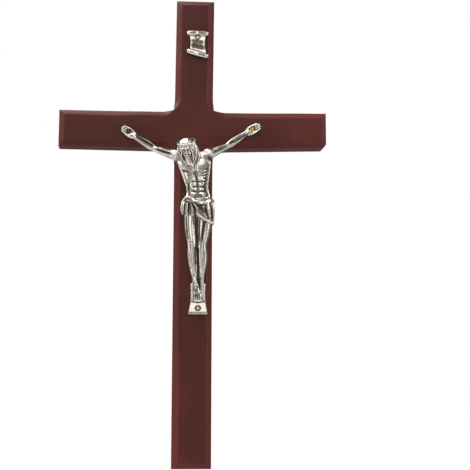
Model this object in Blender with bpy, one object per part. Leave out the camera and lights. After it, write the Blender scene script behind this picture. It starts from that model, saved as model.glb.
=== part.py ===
# Wall crucifix: a chamfered wooden cross with a cast metal figure, a cast title
# scroll and the brass pins that hold both. The cross hangs flat on a wall.
# Frame: +Z up, the front looks along -Y, and the origin is on the flat back,
# behind the middle of the crossing. Lengths are in metres.

import math

import bmesh
import bpy
from mathutils import Matrix, Vector

MM = 0.001

# Wooden cross
HEIGHT = 250 * MM
SPAN = 143.2 * MM
BEAM_WIDTH = 20.4 * MM
THICKNESS = 10 * MM
TOP_TO_CROSSING = 72.7 * MM
CHAMFER_WIDTH = 3.1 * MM
CHAMFER_DEPTH = 2.6 * MM
RUN_OUT_LENGTH = 5.5 * MM      # where a chamfer dies away before an inner corner
SHOULDER_RISE = 0.5 * MM       # extra wood left beside each inner corner
SHOULDER_LENGTH = 8 * MM
CLIPPED_CORNER = 2.3 * MM      # worn lower corner of the right-hand arm
TOP_LEAN = 0.6 * MM            # the hand-cut upright leans this far at its top
RIGHT_ARM_RISE = 0.9 * MM      # and the right-hand arm rises this far at its end
LEFT_ARM_TAPER = 0.5 * MM
RIGHT_ARM_TAPER = 0.9 * MM
JOINT_GAP = 0.3 * MM

# Hanging hole in the back
HANG_HOLE_RADIUS = 3.3 * MM
HANG_HOLE_WALL = 4 * MM        # wood left in front of the hole
HANG_HOLE_FROM_TOP = 16 * MM

# Brass pins
PIN_HEAD_RADIUS = 1.15 * MM
PIN_HEAD_RISE = 0.6 * MM
PIN_SHANK_RADIUS = 0.6 * MM
PIN_BITE = 5 * MM              # how far a pin goes into the wood
PIN_CLEARANCE = 0.3 * MM
SINK_ROOM = 0.4 * MM           # round a pin head in its countersink
SINK_WEB = 0.6 * MM            # metal left under a pin head

# Gap between a casting and the wood
SEAT_GAP = 0.3 * MM

FIGURE_HEIGHT = 92 * MM        # from the crown to the foot of the plate
FIGURE_RISE = 0.5 * MM         # where the figure's drawing stands from the crossing
FIGURE_SIDE = -0.15 * MM

# Title scroll
SCROLL_HEIGHT = 14.6 * MM
SCROLL_WIDTH = 10.2 * MM
SCROLL_WAIST = 7.6 * MM
SCROLL_SHEET = 0.9 * MM
SCROLL_FROM_CROSSING = 47.5 * MM
SCROLL_SIDE_SHIFT = 1.7 * MM
ROLL_HEIGHT = 3.3 * MM
ROLL_DEPTH = 2.3 * MM
ROLL_SLANT = 2.4 * MM          # fall of the lower roll from left to right

WOOD_FACE = -THICKNESS
CASTING_BACK = WOOD_FACE - SEAT_GAP
PIN_SEAT = CASTING_BACK - SINK_WEB - PIN_CLEARANCE     # underside of a pin head
PART = FIGURE_HEIGHT / 92      # the figure is drawn in these parts
LAP = BEAM_WIDTH / 2 + SHOULDER_RISE       # half width of either beam inside the joint
TOP_Z = TOP_TO_CROSSING
FOOT_Z = TOP_TO_CROSSING - HEIGHT

# Pin places across the figure, in parts from the crossing
RIGHT_PALM = (-34.2, -2.7)
LEFT_PALM = (31.5, 0)
FOOT_PIN = (2.9, -96.1)


def clear_scene():
    for old in list(bpy.data.objects):
        bpy.data.objects.remove(old)


def material(name, colour, roughness, metallic):
    made = bpy.data.materials.new(name)
    made.use_nodes = True
    shader = made.node_tree.nodes["Principled BSDF"]
    shader.inputs["Base Color"].default_value = (*colour, 1)
    shader.inputs["Roughness"].default_value = roughness
    shader.inputs["Metallic"].default_value = metallic
    return made


def object_from(name, bm, finish=None, smooth=False):
    bmesh.ops.recalc_face_normals(bm, faces=bm.faces)
    mesh = bpy.data.meshes.new(name)
    bm.to_mesh(mesh)
    bm.free()
    if smooth:
        mesh.shade_smooth()
        mesh.set_sharp_from_angle(angle=math.radians(40))
    made = bpy.data.objects.new(name, mesh)
    bpy.context.scene.collection.objects.link(made)
    if finish:
        mesh.materials.append(finish)
    return made


def cut(target, cutter, operation="DIFFERENCE"):
    cutter.hide_render = True
    cutter.display_type = "WIRE"
    boolean = target.modifiers.new(operation.title() + " " + cutter.name, "BOOLEAN")
    boolean.operation = operation
    boolean.solver = "EXACT"
    boolean.object = cutter


def smooth_step(t):
    t = min(max(t, 0), 1)
    return t * t * (3 - 2 * t)


# Wooden beams

def upright_drift(s):
    """How far the upright's left and right edges stand out of true at height s."""
    lean = TOP_LEAN * max(s - LAP - JOINT_GAP, 0) / (TOP_Z - LAP - JOINT_GAP)
    return lean, lean


def crossbar_drift(s):
    """How far the crossbar's lower and upper edges stand out of true at distance s."""
    share = max(abs(s) - LAP - JOINT_GAP, 0) / (SPAN / 2 - LAP - JOINT_GAP)
    rise, taper = (RIGHT_ARM_RISE, RIGHT_ARM_TAPER) if s > 0 else (0, LEFT_ARM_TAPER)
    return share * (rise + taper), share * rise


def beam_section(s, is_end, notched, lies_in_front, drift):
    """Eight corners (across, y) of a beam at distance s from the crossing."""
    away = abs(s) - LAP - JOINT_GAP
    rise = SHOULDER_RISE * (1 - smooth_step(away / SHOULDER_LENGTH))
    across = BEAM_WIDTH / 2 + rise
    share = math.sin(math.pi / 2 * min(max(away / RUN_OUT_LENGTH, 0), 1))
    width, depth = CHAMFER_WIDTH * share, CHAMFER_DEPTH * share
    back, front = 0, WOOD_FACE
    middle = (WOOD_FACE + JOINT_GAP * (-1 if lies_in_front else 1)) / 2
    if is_end:
        width, depth = 0, 0
        front = WOOD_FACE + CHAMFER_DEPTH
    if notched and lies_in_front:
        back = middle
    elif notched:
        front = middle
        width, depth = 0, 0
    side = [(across, back), (across, middle), (across, front + depth), (across - width, front)]
    low, high = drift(s)
    return [(low - a, y) for a, y in side] + [(high + a, y) for a, y in side[::-1]]


def beam_stations(low, high):
    """Places along a beam where its section changes: (distance, is end, is notched)."""
    curve = [LAP + JOINT_GAP + RUN_OUT_LENGTH * k / 5 for k in range(1, 6)]
    curve.append(LAP + JOINT_GAP + SHOULDER_LENGTH)
    notch = LAP + JOINT_GAP
    before = [(-s, False, False) for s in reversed(curve)]
    joint = [(-notch, False, False), (-notch, False, True), (notch, False, True), (notch, False, False)]
    after = [(s, False, False) for s in curve]
    low_end = [(low, True, False), (low + CHAMFER_WIDTH, False, False)]
    high_end = [(high - CHAMFER_WIDTH, False, False), (high, True, False)]
    return low_end + before + joint + after + high_end


def beam(name, low, high, along_x, lies_in_front, drift, finish):
    """A beam lofted through its sections, with its half of the lap joint."""
    bm = bmesh.new()
    rings = []
    for s, is_end, notched in beam_stations(low, high):
        ring = []
        for across, y in beam_section(s, is_end, notched, lies_in_front, drift):
            place = (s, y, across) if along_x else (across, y, s)
            ring.append(bm.verts.new(place))
        rings.append(ring)
    for ring, following in zip(rings, rings[1:]):
        for k in range(8):
            bm.faces.new((ring[k], ring[(k + 1) % 8], following[(k + 1) % 8], following[k]))
    bm.faces.new(rings[0])
    bm.faces.new(rings[-1])
    bmesh.ops.remove_doubles(bm, verts=bm.verts, dist=1e-6)
    return object_from(name, bm, finish)


def clip_corner(target):
    """A small slanting facet off the lower corner of the right-hand arm."""
    bm = bmesh.new()
    bm.from_mesh(target.data)
    corner = Vector((SPAN / 2, 0, crossbar_drift(SPAN / 2)[0] - BEAM_WIDTH / 2))
    normal = Vector((1, 0, -1)).normalized()
    everything = bm.verts[:] + bm.edges[:] + bm.faces[:]
    sliced = bmesh.ops.bisect_plane(
        bm, geom=everything, plane_co=corner - normal * CLIPPED_CORNER / math.sqrt(2),
        plane_no=normal, clear_outer=True,
    )
    rim = [piece for piece in sliced["geom_cut"] if isinstance(piece, bmesh.types.BMEdge)]
    bmesh.ops.holes_fill(bm, edges=rim, sides=0)
    bmesh.ops.recalc_face_normals(bm, faces=bm.faces)
    bm.to_mesh(target.data)
    bm.free()


# Turned shapes: pins and the cutters for their holes

def turned(name, profile, place, finish=None, sides=20):
    """A profile of (radius, y) turned about the line through place along Y."""
    bm = bmesh.new()
    points = [bm.verts.new((radius, y, 0)) for radius, y in profile]
    edges = [bm.edges.new(pair) for pair in zip(points, points[1:])]
    bmesh.ops.spin(
        bm, geom=points + edges, cent=(0, 0, 0), axis=(0, 1, 0),
        angle=math.tau, steps=sides,
    )
    bmesh.ops.remove_doubles(bm, verts=bm.verts, dist=1e-6)
    made = object_from(name, bm, finish, smooth=finish is not None)
    made.location = (place[0], 0, place[1])
    return made


def pin(name, place, finish):
    """A round-headed brass pin."""
    tip = WOOD_FACE + PIN_BITE
    dome = []
    for k in range(5):
        turn = math.pi / 2 * k / 4
        dome.append((PIN_HEAD_RADIUS * math.cos(turn), PIN_SEAT - PIN_HEAD_RISE * math.sin(turn)))
    shank = [
        (0, tip),
        (PIN_SHANK_RADIUS * 0.5, tip - PIN_SHANK_RADIUS),
        (PIN_SHANK_RADIUS, tip - 2 * PIN_SHANK_RADIUS),
        (PIN_SHANK_RADIUS, PIN_SEAT),
    ]
    return turned(name, shank + dome, place, finish)


def pin_hole(name, place):
    """Cutter for a casting: a clearance hole with a countersunk mouth for the head."""
    bore = PIN_SHANK_RADIUS + PIN_CLEARANCE
    mouth = PIN_HEAD_RADIUS + SINK_ROOM
    floor = CASTING_BACK - SINK_WEB
    far = CASTING_BACK - 12 * MM
    profile = [
        (0, WOOD_FACE + 1 * MM),
        (bore, WOOD_FACE + 1 * MM),
        (bore, floor),
        (mouth, floor),
        (mouth, far),
        (0, far),
    ]
    return turned(name, profile, place, sides=24)


def wood_hole(name, place):
    """Cutter for the hole that a pin fills in the wood."""
    bore = PIN_SHANK_RADIUS + PIN_CLEARANCE
    bottom = WOOD_FACE + PIN_BITE + PIN_CLEARANCE
    profile = [(0, WOOD_FACE - 1 * MM), (bore, WOOD_FACE - 1 * MM), (bore, bottom), (0, bottom)]
    return turned(name, profile, place, sides=16)


def hanging_hole(name):
    profile = [
        (0, 1 * MM),
        (HANG_HOLE_RADIUS, 1 * MM),
        (HANG_HOLE_RADIUS, WOOD_FACE + HANG_HOLE_WALL),
        (0, WOOD_FACE + HANG_HOLE_WALL),
    ]
    return turned(name, profile, (0, TOP_Z - HANG_HOLE_FROM_TOP), sides=32)


# Figure. A place is (x, out, z) in parts, where out is the distance in front of the wood.

def at(x, out, z):
    return Vector((FIGURE_SIDE + x * PART, CASTING_BACK - out * PART, FIGURE_RISE + z * PART))


def curve_through(points, share):
    """A point at share 0 to 1 of a smooth curve through rows of numbers."""
    last = len(points) - 1
    k = min(int(share * last), last - 1)
    t = share * last - k
    rows = [points[min(max(k + step, 0), last)] for step in (-1, 0, 1, 2)]
    blended = []
    for a, b, c, d in zip(*rows):
        slope, bend = (c - a) / 2, (d - b) / 2
        blended.append(
            b * (2 * t**3 - 3 * t**2 + 1) + slope * (t**3 - 2 * t**2 + t)
            + c * (3 * t**2 - 2 * t**3) + bend * (t**3 - t**2)
        )
    return blended


def limb(bm, stations, sides=16, steps=5):
    """A round-ended tube through stations (x, out, z, half width, half depth)."""
    count = steps * (len(stations) - 1)
    rows = [curve_through(stations, k / count) for k in range(count + 1)]
    centres = [at(*row[:3]) for row in rows]
    rings = []
    for k, row in enumerate(rows):
        before, after = centres[max(k - 1, 0)], centres[min(k + 1, count)]
        along = (after - before).normalized()
        across = along.cross(Vector((0, -1, 0))).normalized()
        outward = across.cross(along)
        rings.append((centres[k], along, across, outward, row[3] * PART, row[4] * PART))
    # Each end closes with three shrinking rings, like a dome.
    domed = []
    for share in (0.97, 0.8, 0.45):
        c, along, across, outward, w, d = rings[0]
        domed.append((c - along * min(w, d) * share, along, across, outward,
                      w * math.sqrt(1 - share**2), d * math.sqrt(1 - share**2)))
    domed += rings
    for share in (0.45, 0.8, 0.97):
        c, along, across, outward, w, d = rings[-1]
        domed.append((c + along * min(w, d) * share, along, across, outward,
                      w * math.sqrt(1 - share**2), d * math.sqrt(1 - share**2)))
    made = []
    for c, along, across, outward, w, d in domed:
        ring = []
        for k in range(sides):
            turn = math.tau * k / sides
            ring.append(bm.verts.new(c + across * w * math.cos(turn) + outward * d * math.sin(turn)))
        made.append(ring)
    for ring, following in zip(made, made[1:]):
        for k in range(sides):
            bm.faces.new((ring[k], ring[(k + 1) % sides], following[(k + 1) % sides], following[k]))
    bm.faces.new(made[0][::-1])
    bm.faces.new(made[-1])


def strand(bm, points, radius, sides=8):
    """A thin tube of one radius: a lock of hair, a fold, a finger or a thorn twig."""
    limb(bm, [(*p, radius, radius) for p in points], sides, steps=4)


def ball(bm, place, radii, turn=0.0):
    """An ellipsoid of half sizes (across, out, up), turned about the front's axis."""
    scale = Matrix.Diagonal((*[r * PART for r in radii], 1))
    spot = Matrix.Translation(at(*place)) @ Matrix.Rotation(math.radians(turn), 4, "Y")
    bmesh.ops.create_icosphere(bm, subdivisions=3, radius=1, matrix=spot @ scale)


TORSO = (
    (-0.9, 3.6, -15.5, 7.8, 2.6),
    (-0.3, 4.3, -19.0, 8.8, 4.2),
    (0.9, 4.7, -24.0, 7.7, 4.9),
    (1.8, 4.6, -29.0, 6.5, 4.4),
    (2.6, 4.3, -34.0, 5.5, 3.7),
    (2.9, 4.4, -38.5, 6.5, 3.9),
    (2.7, 4.4, -43.5, 7.4, 4.2),
    (2.6, 4.4, -48.0, 7.0, 4.2),
)


def skin(x, z):
    """How far the torso's front stands out at (x, z)."""
    for above, below in zip(TORSO, TORSO[1:]):
        if below[2] <= z <= above[2]:
            t = (above[2] - z) / (above[2] - below[2])
            middle, out, _, half, depth = [a + (b - a) * t for a, b in zip(above, below)]
            return out + depth * math.sqrt(max(1 - ((x - middle) / half) ** 2, 0.05))
    return 6


def raised(bm, places, radius, lift=0.0):
    """A strand laid on the torso's skin through (x, z) places."""
    strand(bm, [(x, skin(x, z) + lift, z) for x, z in places], radius)


def torso(bm):
    limb(bm, TORSO, sides=24)
    for side, x in ((-1, -3.4), (1, 5.0)):
        middle = 0.9
        ball(bm, (x, skin(x, -21.8) - 0.7, -21.8), (4.0, 1.9, 2.8), side * 12)
        # Lower edge of the chest muscle
        raised(bm, [(middle + side * 0.9, -24.2), (middle + side * 3.6, -24.7), (middle + side * 6.6, -22.9)], 0.55, 0.5)
        # The arch of the ribs, then three ribs from the flank towards it
        raised(bm, [(middle + side * 0.8, -25.6), (middle + side * 2.5, -28.2), (middle + side * 4.4, -31.4)], 0.6, 0.25)
        for k in range(3):
            z = -26.2 - 1.75 * k
            start, tip = middle + 0.25 * k + side * (2.7 + 0.6 * k), middle + 0.25 * k + side * (6.6 - 0.15 * k)
            raised(bm, [(start, z - 0.4), ((start + tip) / 2, z), (tip, z + 1.1)], 0.5, 0.25)
        # Abdomen blocks either side of the middle line
        for k in range(3):
            x = 2.1 + 0.2 * k + side * 1.75
            z = -31.2 - 2.2 * k
            ball(bm, (x, skin(x, z) - 0.15, z), (1.5, 0.9, 1.0))
        x = 2.9 + side * 2.6
        ball(bm, (x, skin(x, -37.7) - 0.2, -37.7), (2.1, 1.2, 1.4), side * 20)
        # Flank muscle running down to the hip
        x = 2.4 + side * 4.6
        raised(bm, [(x - 0.3, -32.6), (x, -35.4), (x + side * 0.7, -38.4)], 0.9, 0.0)


def neck(bm):
    limb(bm, [(0.8, 4.6, -18.5, 3.0, 2.6), (-0.8, 5.8, -15.5, 2.5, 2.4), (-2.6, 7.2, -13.0, 2.6, 2.6)])
    for side in (-1, 1):
        # Collar bone and the muscle from the neck to the shoulder
        strand(bm, [(0.6 + side * 1.2, 8.6, -18.4), (0.4 + side * 4.5, 7.8, -17.6), (0.2 + side * 8.2, 6.4, -16.2)], 0.7)
        limb(bm, [(0.2 + side * 7.4, 4.6, -15.6, 1.7, 1.6), (-0.4 + side * 2.6, 5.6, -14.9, 1.5, 1.4)])


def head(bm):
    """Skull, face, hair, beard and the crown of thorns, bowed to the viewer's left."""
    ball(bm, (-3.5, 8.4, -12.2), (4.4, 4.8, 4.7), -8)
    ball(bm, (-3.2, 7.4, -15.6), (5.0, 3.2, 5.4), -8)
    ball(bm, (-3.9, 10.0, -15.6), (3.1, 3.2, 4.4), -8)
    # Brow, nose and cheeks of a plain face with its eyes closed
    strand(bm, [(-6.2, 11.4, -13.5), (-4.0, 12.7, -13.3), (-1.8, 11.6, -13.0)], 0.5)
    strand(bm, [(-4.1, 12.8, -14.0), (-4.3, 13.7, -16.4)], 0.45)
    for side in (-1, 1):
        ball(bm, (-4.2 + side * 1.5, 12.1, -16.6), (0.9, 0.8, 1.1))
        # Moustache and the two points of the beard
        strand(bm, [(-4.4 + side * 0.3, 13.3, -17.7), (-4.5 + side * 1.7, 12.4, -18.8)], 0.5)
        strand(bm, [(-4.5 + side * 1.9, 11.6, -18.4), (-4.4 + side * 1.5, 11.5, -20.4), (-4.2 + side * 0.7, 11.0, -22.4)], 0.75)
    ball(bm, (-4.4, 10.9, -19.6), (2.1, 2.0, 2.4), -4)
    # Wavy locks fall beside the face, longer on the viewer's right.
    locks = ((-1, 7.6, 0.0, 10.8), (-1, 9.0, 0.7, 9.4), (-1, 8.0, 0.9, 7.9),
             (1, 8.6, 0.0, 11.2), (1, 11.0, 0.6, 10.2), (1, 9.6, 1.3, 8.8), (1, 8.0, 1.7, 7.4))
    for k, (side, length, spread, out) in enumerate(locks):
        points = []
        for step in range(7):
            t = step / 6
            sway = 0.4 * math.sin(8 * t + 1.9 * k)
            points.append((-3.6 + side * (3.4 + spread + 0.5 * math.sin(3 * t)) + sway + 0.9 * t,
                           out - 0.6 * t, -10.8 - length * t))
        strand(bm, points, 0.75)
    # Two twigs twist round each other to make the crown, with short thorns.
    for phase in (0, math.pi):
        ring = []
        for k in range(29):
            turn = math.tau * k / 28
            swing = 0.42 * math.sin(6 * turn + phase)
            reach = 4.7 + 0.36 * math.cos(6 * turn + phase)
            side, out = math.sin(turn) * reach, math.cos(turn) * reach
            ring.append((-3.5 + side, 8.5 + out * 1.02, -11.0 + swing - 0.16 * side - 0.26 * out))
        strand(bm, ring, 0.5, sides=6)
    for k in range(9):
        turn = math.tau * (k + 0.5) / 9
        side, out = math.sin(turn), math.cos(turn)
        root = (-3.5 + side * 4.9, 8.5 + out * 5.0, -11.0 - 0.8 * side - 1.3 * out)
        strand(bm, [root, (root[0] + side * 0.7, root[1] + out * 0.6, root[2] + 0.9)], 0.28, sides=6)


def arm(bm, shoulder, elbow, wrist, tip):
    """Upper arm, forearm and open hand, from (x, out, z) joints."""
    def between(a, b, share):
        return [p + (q - p) * share for p, q in zip(a, b)]

    limb(bm, [
        (*between(shoulder, elbow, -0.25), 2.6, 2.4),
        (*between(shoulder, elbow, 0.15), 2.6, 2.3),
        (*between(shoulder, elbow, 0.6), 2.15, 1.9),
        (*elbow, 1.75, 1.6),
        (*between(elbow, wrist, 0.3), 2.05, 1.6),
        (*between(elbow, wrist, 0.65), 1.75, 1.35),
        (*wrist, 1.4, 1.1),
    ])
    palm = between(wrist, tip, 0.38)
    limb(bm, [(*wrist, 1.4, 1.1), (*palm, 2.45, 1.1), (*between(wrist, tip, 0.62), 2.35, 0.95)])
    along = (Vector(tip) - Vector(wrist)).normalized()
    across = along.cross(Vector((0, 1, 0))).normalized()
    for k, reach in enumerate((0.9, 1.02, 1.0, 0.9)):
        offset = across * (1.2 * (k - 1.5))
        spread = across * (1.05 * (k - 1.5))
        start = Vector(between(wrist, tip, 0.5)) + offset
        middle = Vector(between(wrist, tip, 0.76)) + offset
        end = Vector(between(wrist, tip, reach)) + spread
        strand(bm, [(start.x, 1.2, start.z), (middle.x, 1.5, middle.z), (end.x, 1.7, end.z)], 0.62)
    up = 1 if across.z > 0 else -1
    base = Vector(wrist) + across * up * 1.2
    thumb = Vector(between(wrist, tip, 0.62)) + across * up * 2.5
    strand(bm, [(base.x, 1.4, base.z), (thumb.x, 1.6, thumb.z)], 0.7)


def leg(bm, hip, knee, calf, ankle, toe):
    limb(bm, [
        (*hip, 3.5, 3.4),
        (*[(a * 0.55 + b * 0.45) for a, b in zip(hip, knee)], 3.0, 3.1),
        (*knee, 2.25, 2.4),
        (*[(a * 0.75 + b * 0.25) for a, b in zip(knee, calf)], 2.2, 2.3),
        (*calf, 2.4, 2.3),
        (*[(a * 0.4 + b * 0.6) for a, b in zip(calf, ankle)], 1.75, 1.8),
        (*ankle, 1.3, 1.5),
    ])
    ball(bm, (knee[0], knee[1] + 1.3, knee[2] + 0.4), (1.5, 1.2, 1.7))
    limb(bm, [(*ankle, 1.3, 1.5), (*[(a + b) / 2 for a, b in zip(ankle, toe)], 1.5, 1.35), (*toe, 1.75, 0.9)])
    for k in range(4):
        ball(bm, (toe[0] - 1.35 + 0.9 * k, toe[1] + 0.2, toe[2] - 1.0 + 0.15 * abs(k - 1.2)), (0.5, 0.6, 0.75))


def loincloth(bm):
    """Cloth wrapped round the hips, knotted at the viewer's left, with a swag to the right."""
    limb(bm, [
        (2.5, 4.5, -39.8, 7.6, 4.3),
        (2.6, 4.6, -43.5, 8.3, 4.7),
        (2.8, 4.5, -47.5, 8.0, 4.6),
        (3.2, 4.4, -49.6, 6.8, 4.1),
    ], sides=24)
    # Rolled belt
    limb(bm, [(-2.6, 8.2, -40.6, 1.2, 1.2), (0.8, 9.2, -41.2, 1.2, 1.1), (4.2, 9.4, -42.4, 1.5, 1.2),
              (7.4, 8.0, -42.2, 1.3, 1.2), (9.9, 5.6, -41.4, 1.2, 1.2), (10.2, 3.0, -41.4, 1.1, 1.2)])
    ball(bm, (-2.9, 8.4, -40.0), (1.7, 1.7, 1.4))
    # Folds fan down from the knot.
    for reach, drop, out in ((-2.9, 7.4, 4.6), (-2.2, 8.2, 6.6), (-0.7, 8.9, 8.0), (1.0, 8.6, 8.6)):
        strand(bm, [(-2.9, 8.4, -40.4), (-3.0 + reach * 0.8, out + 0.9, -40.4 - drop * 0.4),
                    (-2.8 + reach * 0.8, out, -40.4 - drop)], 0.85)
    # Swag folds fall to the hem on the right.
    for start, low, radius in ((-0.6, (10.2, -52.0), 0.95), (1.6, (9.8, -48.6), 0.6)):
        strand(bm, [(start, 9.2, -42.2), (start + 1.7, 9.3, low[1] + 5.6), (5.6 + start * 0.4, 8.9, low[1] + 2.2),
                    (low[0], 6.2, low[1])], radius)
    # Upright folds on the right hip
    for x, out, foot in ((8.2, 7.6, -51.6), (9.8, 6.2, -52.2), (10.8, 4.2, -52.0)):
        strand(bm, [(x - 0.2, out, -43.0), (x + 0.2, out, -47.5), (x - 0.2, out - 0.8, foot)], 0.8)


def foot_plate(bm):
    """Plate under the feet: narrow behind them, flaring below to its pin."""
    outline = [(3.8, -83.2), (3.7, -91.4), (5.1, -99.2)]
    middle, thick = FOOT_PIN[0], 1.5
    left = [(middle - half, z) for half, z in outline]
    right = [(middle + half, z) for half, z in reversed(outline)]
    corners = left + right
    back = [bm.verts.new(at(x, -0.6, z)) for x, z in corners]
    front = [bm.verts.new(at(x, thick, z)) for x, z in corners]
    bm.faces.new(back)
    bm.faces.new(front[::-1])
    for k in range(len(corners)):
        following = (k + 1) % len(corners)
        bm.faces.new((back[k], back[following], front[following], front[k]))
    for side in (-1, 1):
        strand(bm, [(middle + side * 3.5, 1.6, -83.6), (middle + side * 3.3, 1.8, -91.0)], 0.7)


def figure(name, finish):
    bm = bmesh.new()
    torso(bm)
    neck(bm)
    head(bm)
    arm(bm, (-9.8, 4.6, -16.0), (-20.6, 3.4, -12.2), (-31.2, 1.5, -5.4), (-38.1, 1.5, -0.3))
    arm(bm, (8.0, 4.6, -15.2), (18.0, 3.4, -9.9), (28.2, 1.5, -2.5), (36.0, 1.5, 2.2))
    # The casting is closed between the legs.
    limb(bm, [(2.2, 2.6, -48.0, 2.6, 2.2), (2.1, 3.4, -63.0, 1.9, 1.8), (2.7, 2.6, -80.0, 2.0, 1.6)])
    leg(bm, (-1.3, 4.8, -47.0), (-0.7, 6.6, -63.6), (-0.3, 4.6, -70.0), (0.9, 3.4, -80.6), (2.0, 3.4, -91.0))
    leg(bm, (6.3, 4.8, -47.0), (4.9, 6.3, -63.9), (5.2, 4.4, -70.2), (4.8, 2.9, -80.6), (3.8, 2.2, -89.6))
    loincloth(bm)
    foot_plate(bm)
    made = object_from(name, bm, finish, smooth=True)
    remesh = made.modifiers.new("One casting", "REMESH")
    remesh.mode = "VOXEL"
    remesh.voxel_size = 0.36 * PART
    remesh.use_smooth_shade = True
    soften = made.modifiers.new("Soften", "SMOOTH")
    soften.factor = 0.5
    soften.iterations = 2
    reduce = made.modifiers.new("Facets", "DECIMATE")
    reduce.ratio = 0.07
    return made


# Title scroll

def scroll_roll(name, left, right, half_height, half_depth):
    """A flattened roll between two places (x, z), with closed round ends."""
    bm = bmesh.new()
    sides, rings = 18, []
    along = Vector((right[0] - left[0], 0, right[1] - left[1]))
    up = along.normalized().cross(Vector((0, 1, 0)))
    for share, size in ((0, 0.72), (0.05, 0.95), (0.5, 0.9), (0.95, 0.95), (1, 0.72)):
        centre = Vector((left[0], CASTING_BACK - half_depth, left[1])) + along * share
        ring = []
        for k in range(sides):
            turn = math.tau * k / sides
            ring.append(bm.verts.new(
                centre + up * half_height * size * math.cos(turn)
                + Vector((0, half_depth * size * math.sin(turn), 0))
            ))
        rings.append(ring)
    for ring, following in zip(rings, rings[1:]):
        for k in range(sides):
            bm.faces.new((ring[k], ring[(k + 1) % sides], following[(k + 1) % sides], following[k]))
    bm.faces.new(rings[0])
    bm.faces.new(rings[-1])
    return object_from(name, bm)


def title_scroll(finish):
    """A parchment with waisted sides, its top and foot rolled forward."""
    middle, centre = SCROLL_SIDE_SHIFT, SCROLL_FROM_CROSSING
    top = centre + SCROLL_HEIGHT / 2 - ROLL_HEIGHT / 2
    foot = centre - SCROLL_HEIGHT / 2 + ROLL_HEIGHT / 2
    bm = bmesh.new()
    rows = []
    steps = 8
    for k in range(steps + 1):
        share = k / steps
        z = foot + (top - foot) * share
        bulge = (2 * share - 1) ** 2
        half = (SCROLL_WAIST + (SCROLL_WIDTH * 0.94 - SCROLL_WAIST) * bulge) / 2
        back = CASTING_BACK
        front = back - SCROLL_SHEET - ROLL_DEPTH * 0.2 * bulge
        slant = ROLL_SLANT / 2 * (1 - share) ** 2
        rows.append([
            bm.verts.new((middle - half, back, z + slant)), bm.verts.new((middle - half, front, z + slant)),
            bm.verts.new((middle + half, front, z - slant)), bm.verts.new((middle + half, back, z - slant)),
        ])
    for row, following in zip(rows, rows[1:]):
        for k in range(4):
            bm.faces.new((row[k], row[(k + 1) % 4], following[(k + 1) % 4], following[k]))
    bm.faces.new(rows[0])
    bm.faces.new(rows[-1])
    sheet = object_from("title_scroll", bm, finish)
    half_width = SCROLL_WIDTH / 2
    upper = scroll_roll("upper_roll", (middle - half_width, top), (middle + half_width, top),
                        ROLL_HEIGHT / 2, ROLL_DEPTH / 2)
    lower = scroll_roll("lower_roll", (middle - half_width, foot + ROLL_SLANT / 2),
                        (middle + half_width, foot - ROLL_SLANT / 2), ROLL_HEIGHT / 2, ROLL_DEPTH / 2)
    cut(sheet, upper, "UNION")
    cut(sheet, lower, "UNION")
    return sheet


def place_of(parts):
    place = at(parts[0], 0, parts[1])
    return (place.x, place.z)


def main():
    clear_scene()
    wood = material("stained wood", (0.09, 0.028, 0.024), 0.4, 0)
    silver = material("antique silver", (0.62, 0.6, 0.56), 0.3, 1)
    brass = material("brass", (0.72, 0.46, 0.2), 0.3, 1)

    upright = beam("upright", FOOT_Z, TOP_Z, False, False, upright_drift, wood)
    crossbar = beam("crossbar", -SPAN / 2, SPAN / 2, True, True, crossbar_drift, wood)
    clip_corner(crossbar)
    corpus = figure("corpus", silver)
    scroll = title_scroll(silver)

    scroll_pin = (SCROLL_SIDE_SHIFT, SCROLL_FROM_CROSSING + SCROLL_HEIGHT / 2 - ROLL_HEIGHT * 1.15)
    pins = (
        ("pin_right_palm", place_of(RIGHT_PALM), crossbar, corpus),
        ("pin_left_palm", place_of(LEFT_PALM), crossbar, corpus),
        ("pin_feet", place_of(FOOT_PIN), upright, corpus),
        ("pin_scroll", scroll_pin, upright, scroll),
    )
    for name, place, timber, casting in pins:
        pin(name, place, brass)
        cut(casting, pin_hole(name + "_sink", place))
        cut(timber, wood_hole(name + "_bore", place))

    # The castings are ground flat behind, clear of the wood.
    bm = bmesh.new()
    room = Matrix.Diagonal((SPAN, THICKNESS, HEIGHT, 1))
    seat = Matrix.Translation((0, CASTING_BACK + THICKNESS / 2, FOOT_Z + HEIGHT / 2))
    bmesh.ops.create_cube(bm, size=1, matrix=seat @ room)
    cut(corpus, object_from("ground_back", bm))
    cut(upright, hanging_hole("hanging_hole"))


main()
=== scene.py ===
import math

import bmesh
import bpy
import numpy as np
from mathutils import Matrix, Vector


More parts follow.
